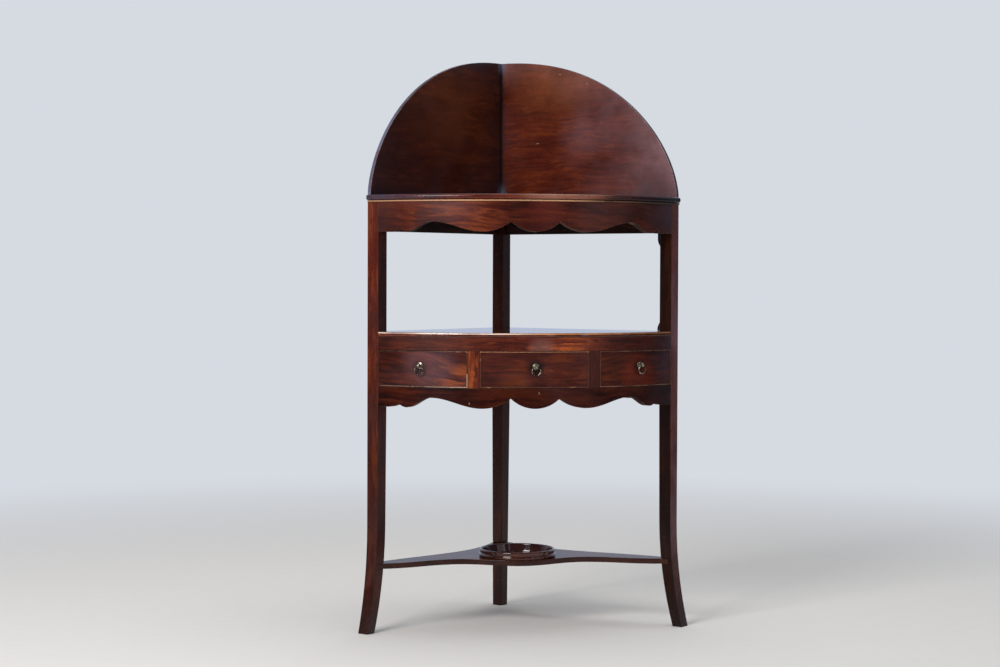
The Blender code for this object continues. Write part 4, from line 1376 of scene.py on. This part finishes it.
class DRESS_OT_undertier_ring(bpy.types.Operator):
    """Turns the moulded ring on the undertier"""

    bl_idname = "dress.undertier_ring"
    bl_label = "Ring"

    def execute(self, context):
        low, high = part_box("undertier_ring")
        profile = ring_profile((high.x - low.x) / 2, sizes().ring_wall, high.z - low.z)
        place = Matrix.Translation((0, (low.y + high.y) / 2, low.z))
        thing = turned("undertier_ring_wood", profile, place, steps=120)
        smooth(thing, angle=45)
        look = {"lift": 0.3, "flame": 0.1, "gloss": 0.07, "wear": 0.35, "calm": 0.5, "relief": 0.04}
        face = dark_mahogany("ring_face", "across", 151, specular=0.6, **look)
        seat(thing, "undertier_ring", "mahogany", face)
        return {"FINISHED"}


# Ring pulls

# The rosette's profile, as shares of its radius and of its thickness
rosette_shares = ((1.0, 0.30), (0.96, 0.55), (0.84, 0.72), (0.74, 0.58), (0.66, 0.62), (0.52, 0.92))


def pull_loop(node, made):
    """A loop of round wire, hanging from its post."""
    low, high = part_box(node)
    middle = (low + high) / 2
    wire = sizes().loop_wire
    radius = (high.z - low.z) / 2 - wire
    steps = 14
    turns = [2 * pi * step / steps for step in range(steps)]
    profile = [(radius + wire * cos(turn), wire * sin(turn)) for turn in turns]
    outward = Matrix.Rotation(angle_of(middle), 4, "Z") @ Matrix.Rotation(pi / 2, 4, "X")
    loop = turned(node + "_metal", profile, Matrix.Translation(middle) @ outward, steps=72)
    smooth(loop, angle=40)
    seat(loop, node, "brass", made)


def rosette(node, angle, made):
    """A turned plate with a raised rim, behind a pull."""
    low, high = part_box(node)
    reach = (high.z - low.z) / 2
    lift = 0.0003
    thick = 0.0018
    inner = 0.0023
    profile = [(inner, lift), (reach, lift)]
    profile += [(reach * out, lift + thick * rise) for out, rise in rosette_shares]
    profile += [(inner, lift + thick)]
    place = Matrix.Translation(on_bow(angle, face_radius, (low.z + high.z) / 2))
    place = place @ Matrix.Rotation(angle, 4, "Z") @ Matrix.Rotation(pi / 2, 4, "X")
    plate = turned(node + "_metal", profile, place, steps=48)
    smooth(plate, angle=30)
    seat(plate, node, "brass", made)


class DRESS_OT_pulls(bpy.types.Operator):
    """Turns the rosettes and loops of the ring pulls, and finishes their posts and nuts"""

    bl_idname = "dress.pulls"
    bl_label = "Ring pulls"

    def execute(self, context):
        shades = colours()
        brass = old_metal("pull_brass", shades.brass, shades.patina)
        worn_brass = old_metal("rosette_brass", shades.brass, between(shades.patina, shades.brass, 0.35))
        steel = old_metal("nut_steel", shades.steel, tone(60, 52, 44))
        for word in ("centre", "left", "right"):
            low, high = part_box("pull_loop_" + word)
            pull_loop("pull_loop_" + word, brass)
            rosette("rosette_" + word, angle_of((low + high) / 2), worn_brass)
            node = "pull_post_" + word
            post = merged_copy(node, "_metal")
            smooth(post, angle=40)
            seat(post, node, "brass", worn_brass)
            coat("pull_nut_" + word, steel)
        return {"FINISHED"}


# Stage

camera_place = (-0.6888, -4.1116, 0.7018)
camera_yaw = radians(9.03)
camera_pitch = radians(1.688)
camera_roll = 0.0036
focal_pixels = 2079
image_wide = 1000
sensor_mm = 36
floor_radius = 9
aim_height = 0.55
dim_room = 0.12

# Distances from the table at which the floor starts to fade and is gone
floor_near = 0.9
floor_far = 3.2

# The angle of each window in the mirrored room, half its width, both in degrees, and its brightness. Then
# the height of their middle and half their height, outside and inside their soft edge
windows = ((-49, 3.5, 1.1), (-40, 3.5, 1.1), (18, 2.5, 1.3), (37, 2.5, 1.3))
window_middle = 0.12
window_halves = (0.38, 0.26)

# Place, size, power and colour of each lamp
lamps = {
    "key_lamp": ((-2.6, -2.7, 2.6), 1.6, 115, (1.0, 0.97, 0.93)),
    "fill_lamp": ((3.0, -2.6, 1.6), 2.2, 8, (0.93, 0.96, 1.0)),
    "top_lamp": ((0.3, 0.2, 3.2), 2.0, 26, (1.0, 1.0, 1.0)),
}


def camera_frame():
    """Where the photographer's camera stood and how it was turned."""
    flat = cos(camera_pitch)
    ahead = Vector((sin(camera_yaw) * flat, cos(camera_yaw) * flat, -sin(camera_pitch)))
    level = Vector((cos(camera_yaw), -sin(camera_yaw), 0))
    above = level.cross(ahead)
    right = cos(camera_roll) * level + sin(camera_roll) * above
    up = -sin(camera_roll) * level + cos(camera_roll) * above
    turn = Matrix((right, up, -ahead)).transposed().to_4x4()
    return Matrix.Translation(camera_place) @ turn


def mirrored_room(tree, direction):
    """How bright the room is that the polish mirrors: pale behind the table, dim in front, with windows."""
    parts = split(tree, direction)
    bright = ramp(tree, parts["Y"], -0.1, 0.7, dim_room, 1.0)
    round_about = calc(tree, "ARCTAN2", parts["X"], times(tree, parts["Y"], -1.0))
    tall = ramp(tree, apart(tree, parts["Z"], window_middle), *window_halves)
    for angle, half, strength in windows:
        off = apart(tree, round_about, radians(angle))
        pane = times(tree, ramp(tree, off, radians(half), radians(half - 1)), tall)
        bright = calc(tree, "MULTIPLY_ADD", pane, strength, bright)
    return bright


def floor_material():
    """A pale floor that keeps shadows near the table and fades into the backdrop farther off."""
    shades = colours()
    made, tree, shader, place = blank("plain_floor")
    tree.nodes.remove(shader)
    grain = ramp(tree, noise(tree, place, 30, 4), 0.3, 0.7, 0, 0.06)
    look = mixed(tree, grain, shades.floor, tone(200, 198, 196))
    floor = add(tree, "BsdfDiffuse", {"Color": look})
    path = add(tree, "LightPath").outputs
    mirrored = mirrored_room(tree, vector(tree, "NORMALIZE", place))
    strength = mixed_value(tree, path["Is Glossy Ray"], 1.0, mirrored)
    glow = add(tree, "Emission", {"Color": solid(shades.backdrop), "Strength": strength})
    seen = calc(tree, "MAXIMUM", path["Is Camera Ray"], path["Is Glossy Ray"])
    seen = calc(tree, "MAXIMUM", seen, path["Is Transmission Ray"])
    share = times(tree, seen, ramp(tree, measure(tree, "LENGTH", place), floor_near, floor_far))
    blend = add(tree, "MixShader", {0: share, 1: floor.outputs[0], 2: glow.outputs[0]})
    set_inputs(tree, tree.nodes["Material Output"], {"Surface": blend.outputs[0]})
    return made


def plain_world():
    """Soft light all round, the backdrop's colour where it is seen, and the mirrored room in the polish."""
    world = bpy.data.worlds.new("plain_light")
    world.use_nodes = True
    tree = world.node_tree
    tree.nodes.clear()
    path = add(tree, "LightPath").outputs
    seen = calc(tree, "MAXIMUM", path["Is Camera Ray"], path["Is Transmission Ray"])
    mirrored = mirrored_room(tree, add(tree, "TexCoord").outputs["Generated"])
    light = add(tree, "Background", {"Color": (0.93, 0.96, 1.0, 1), "Strength": 0.44})
    room = add(tree, "Background", {"Color": solid(colours().mirrored), "Strength": mirrored})
    shown = add(tree, "Background", {"Color": solid(colours().backdrop), "Strength": 1.0})
    blend = add(tree, "MixShader", {0: path["Is Glossy Ray"], 1: light.outputs[0], 2: room.outputs[0]})
    blend = add(tree, "MixShader", {0: seen, 1: blend.outputs[0], 2: shown.outputs[0]})
    add(tree, "OutputWorld", {"Surface": blend.outputs[0]})
    return world


def lamp(name, place, size, power, shade):
    """A square soft lamp aimed at the middle of the table."""
    data = bpy.data.lights.new(name, "AREA")
    data.size = size
    data.energy = power
    data.color = shade
    thing = bpy.data.objects.new(name, data)
    bpy.context.scene.collection.objects.link(thing)
    aim = Vector((0, 0, aim_height)) - Vector(place)
    thing.matrix_world = Matrix.Translation(place) @ aim.to_track_quat("-Z", "Y").to_matrix().to_4x4()


class DRESS_OT_stage(bpy.types.Operator):
    """Sets the plain floor, the backdrop colour, the soft lamps and the camera"""

    bl_idname = "dress.stage"
    bl_label = "Stage"

    def execute(self, context):
        bpy.ops.object.select_all(action="DESELECT")
        bpy.ops.mesh.primitive_circle_add(vertices=96, radius=floor_radius, fill_type="NGON")
        floor = context.object
        floor.name = "floor"
        floor.data.materials.append(floor_material())
        for name, values in lamps.items():
            lamp(name, *values)
        context.scene.world = plain_world()

        data = bpy.data.cameras.new("camera")
        data.sensor_width = sensor_mm
        data.lens = focal_pixels * sensor_mm / image_wide
        camera = bpy.data.objects.new("camera", data)
        context.scene.collection.objects.link(camera)
        camera.matrix_world = camera_frame()
        context.scene.camera = camera
        context.scene.view_settings.view_transform = "Standard"
        return {"FINISHED"}


operators = (
    DRESS_OT_legs,
    DRESS_OT_bowed_rails,
    DRESS_OT_boards,
    DRESS_OT_top_bead,
    DRESS_OT_gallery,
    DRESS_OT_straight_sides,
    DRESS_OT_brackets,
    DRESS_OT_fronts,
    DRESS_OT_dividers,
    DRESS_OT_cockbeads,
    DRESS_OT_drawer_lining,
    DRESS_OT_bearers,
    DRESS_OT_glue_blocks,
    DRESS_OT_undertier,
    DRESS_OT_undertier_ring,
    DRESS_OT_pulls,
    DRESS_OT_stage,
)


class DRESS_PT_panel(bpy.types.Panel):
    """Sizes, colours and steps of the corner table's looks"""

    bl_idname = "DRESS_PT_panel"
    bl_label = "Corner table"
    bl_space_type = "VIEW_3D"
    bl_region_type = "UI"
    bl_category = "Corner table"

    def draw(self, context):
        column = self.layout.column()
        for group in (context.scene.corner_table_sizes, context.scene.corner_table_colours):
            for name in group.__annotations__:
                column.prop(group, name)
        for operator in operators:
            column.operator(operator.bl_idname)


classes = (TableSizes, TableColours, *operators, DRESS_PT_panel)


def register():
    """Adds the classes and the settings."""
    for each in classes:
        bpy.utils.register_class(each)
    bpy.types.Scene.corner_table_sizes = PointerProperty(type=TableSizes)
    bpy.types.Scene.corner_table_colours = PointerProperty(type=TableColours)


def unregister():
    """Takes the settings and the classes away."""
    del bpy.types.Scene.corner_table_colours
    del bpy.types.Scene.corner_table_sizes
    for each in reversed(classes):
        bpy.utils.unregister_class(each)


def main():
    """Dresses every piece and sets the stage."""
    register()
    bpy.ops.object.select_all(action="DESELECT")
    for operator in operators:
        area, name = operator.bl_idname.split(".")
        getattr(getattr(bpy.ops, area), name)()


if __name__ == "__main__":
    main()
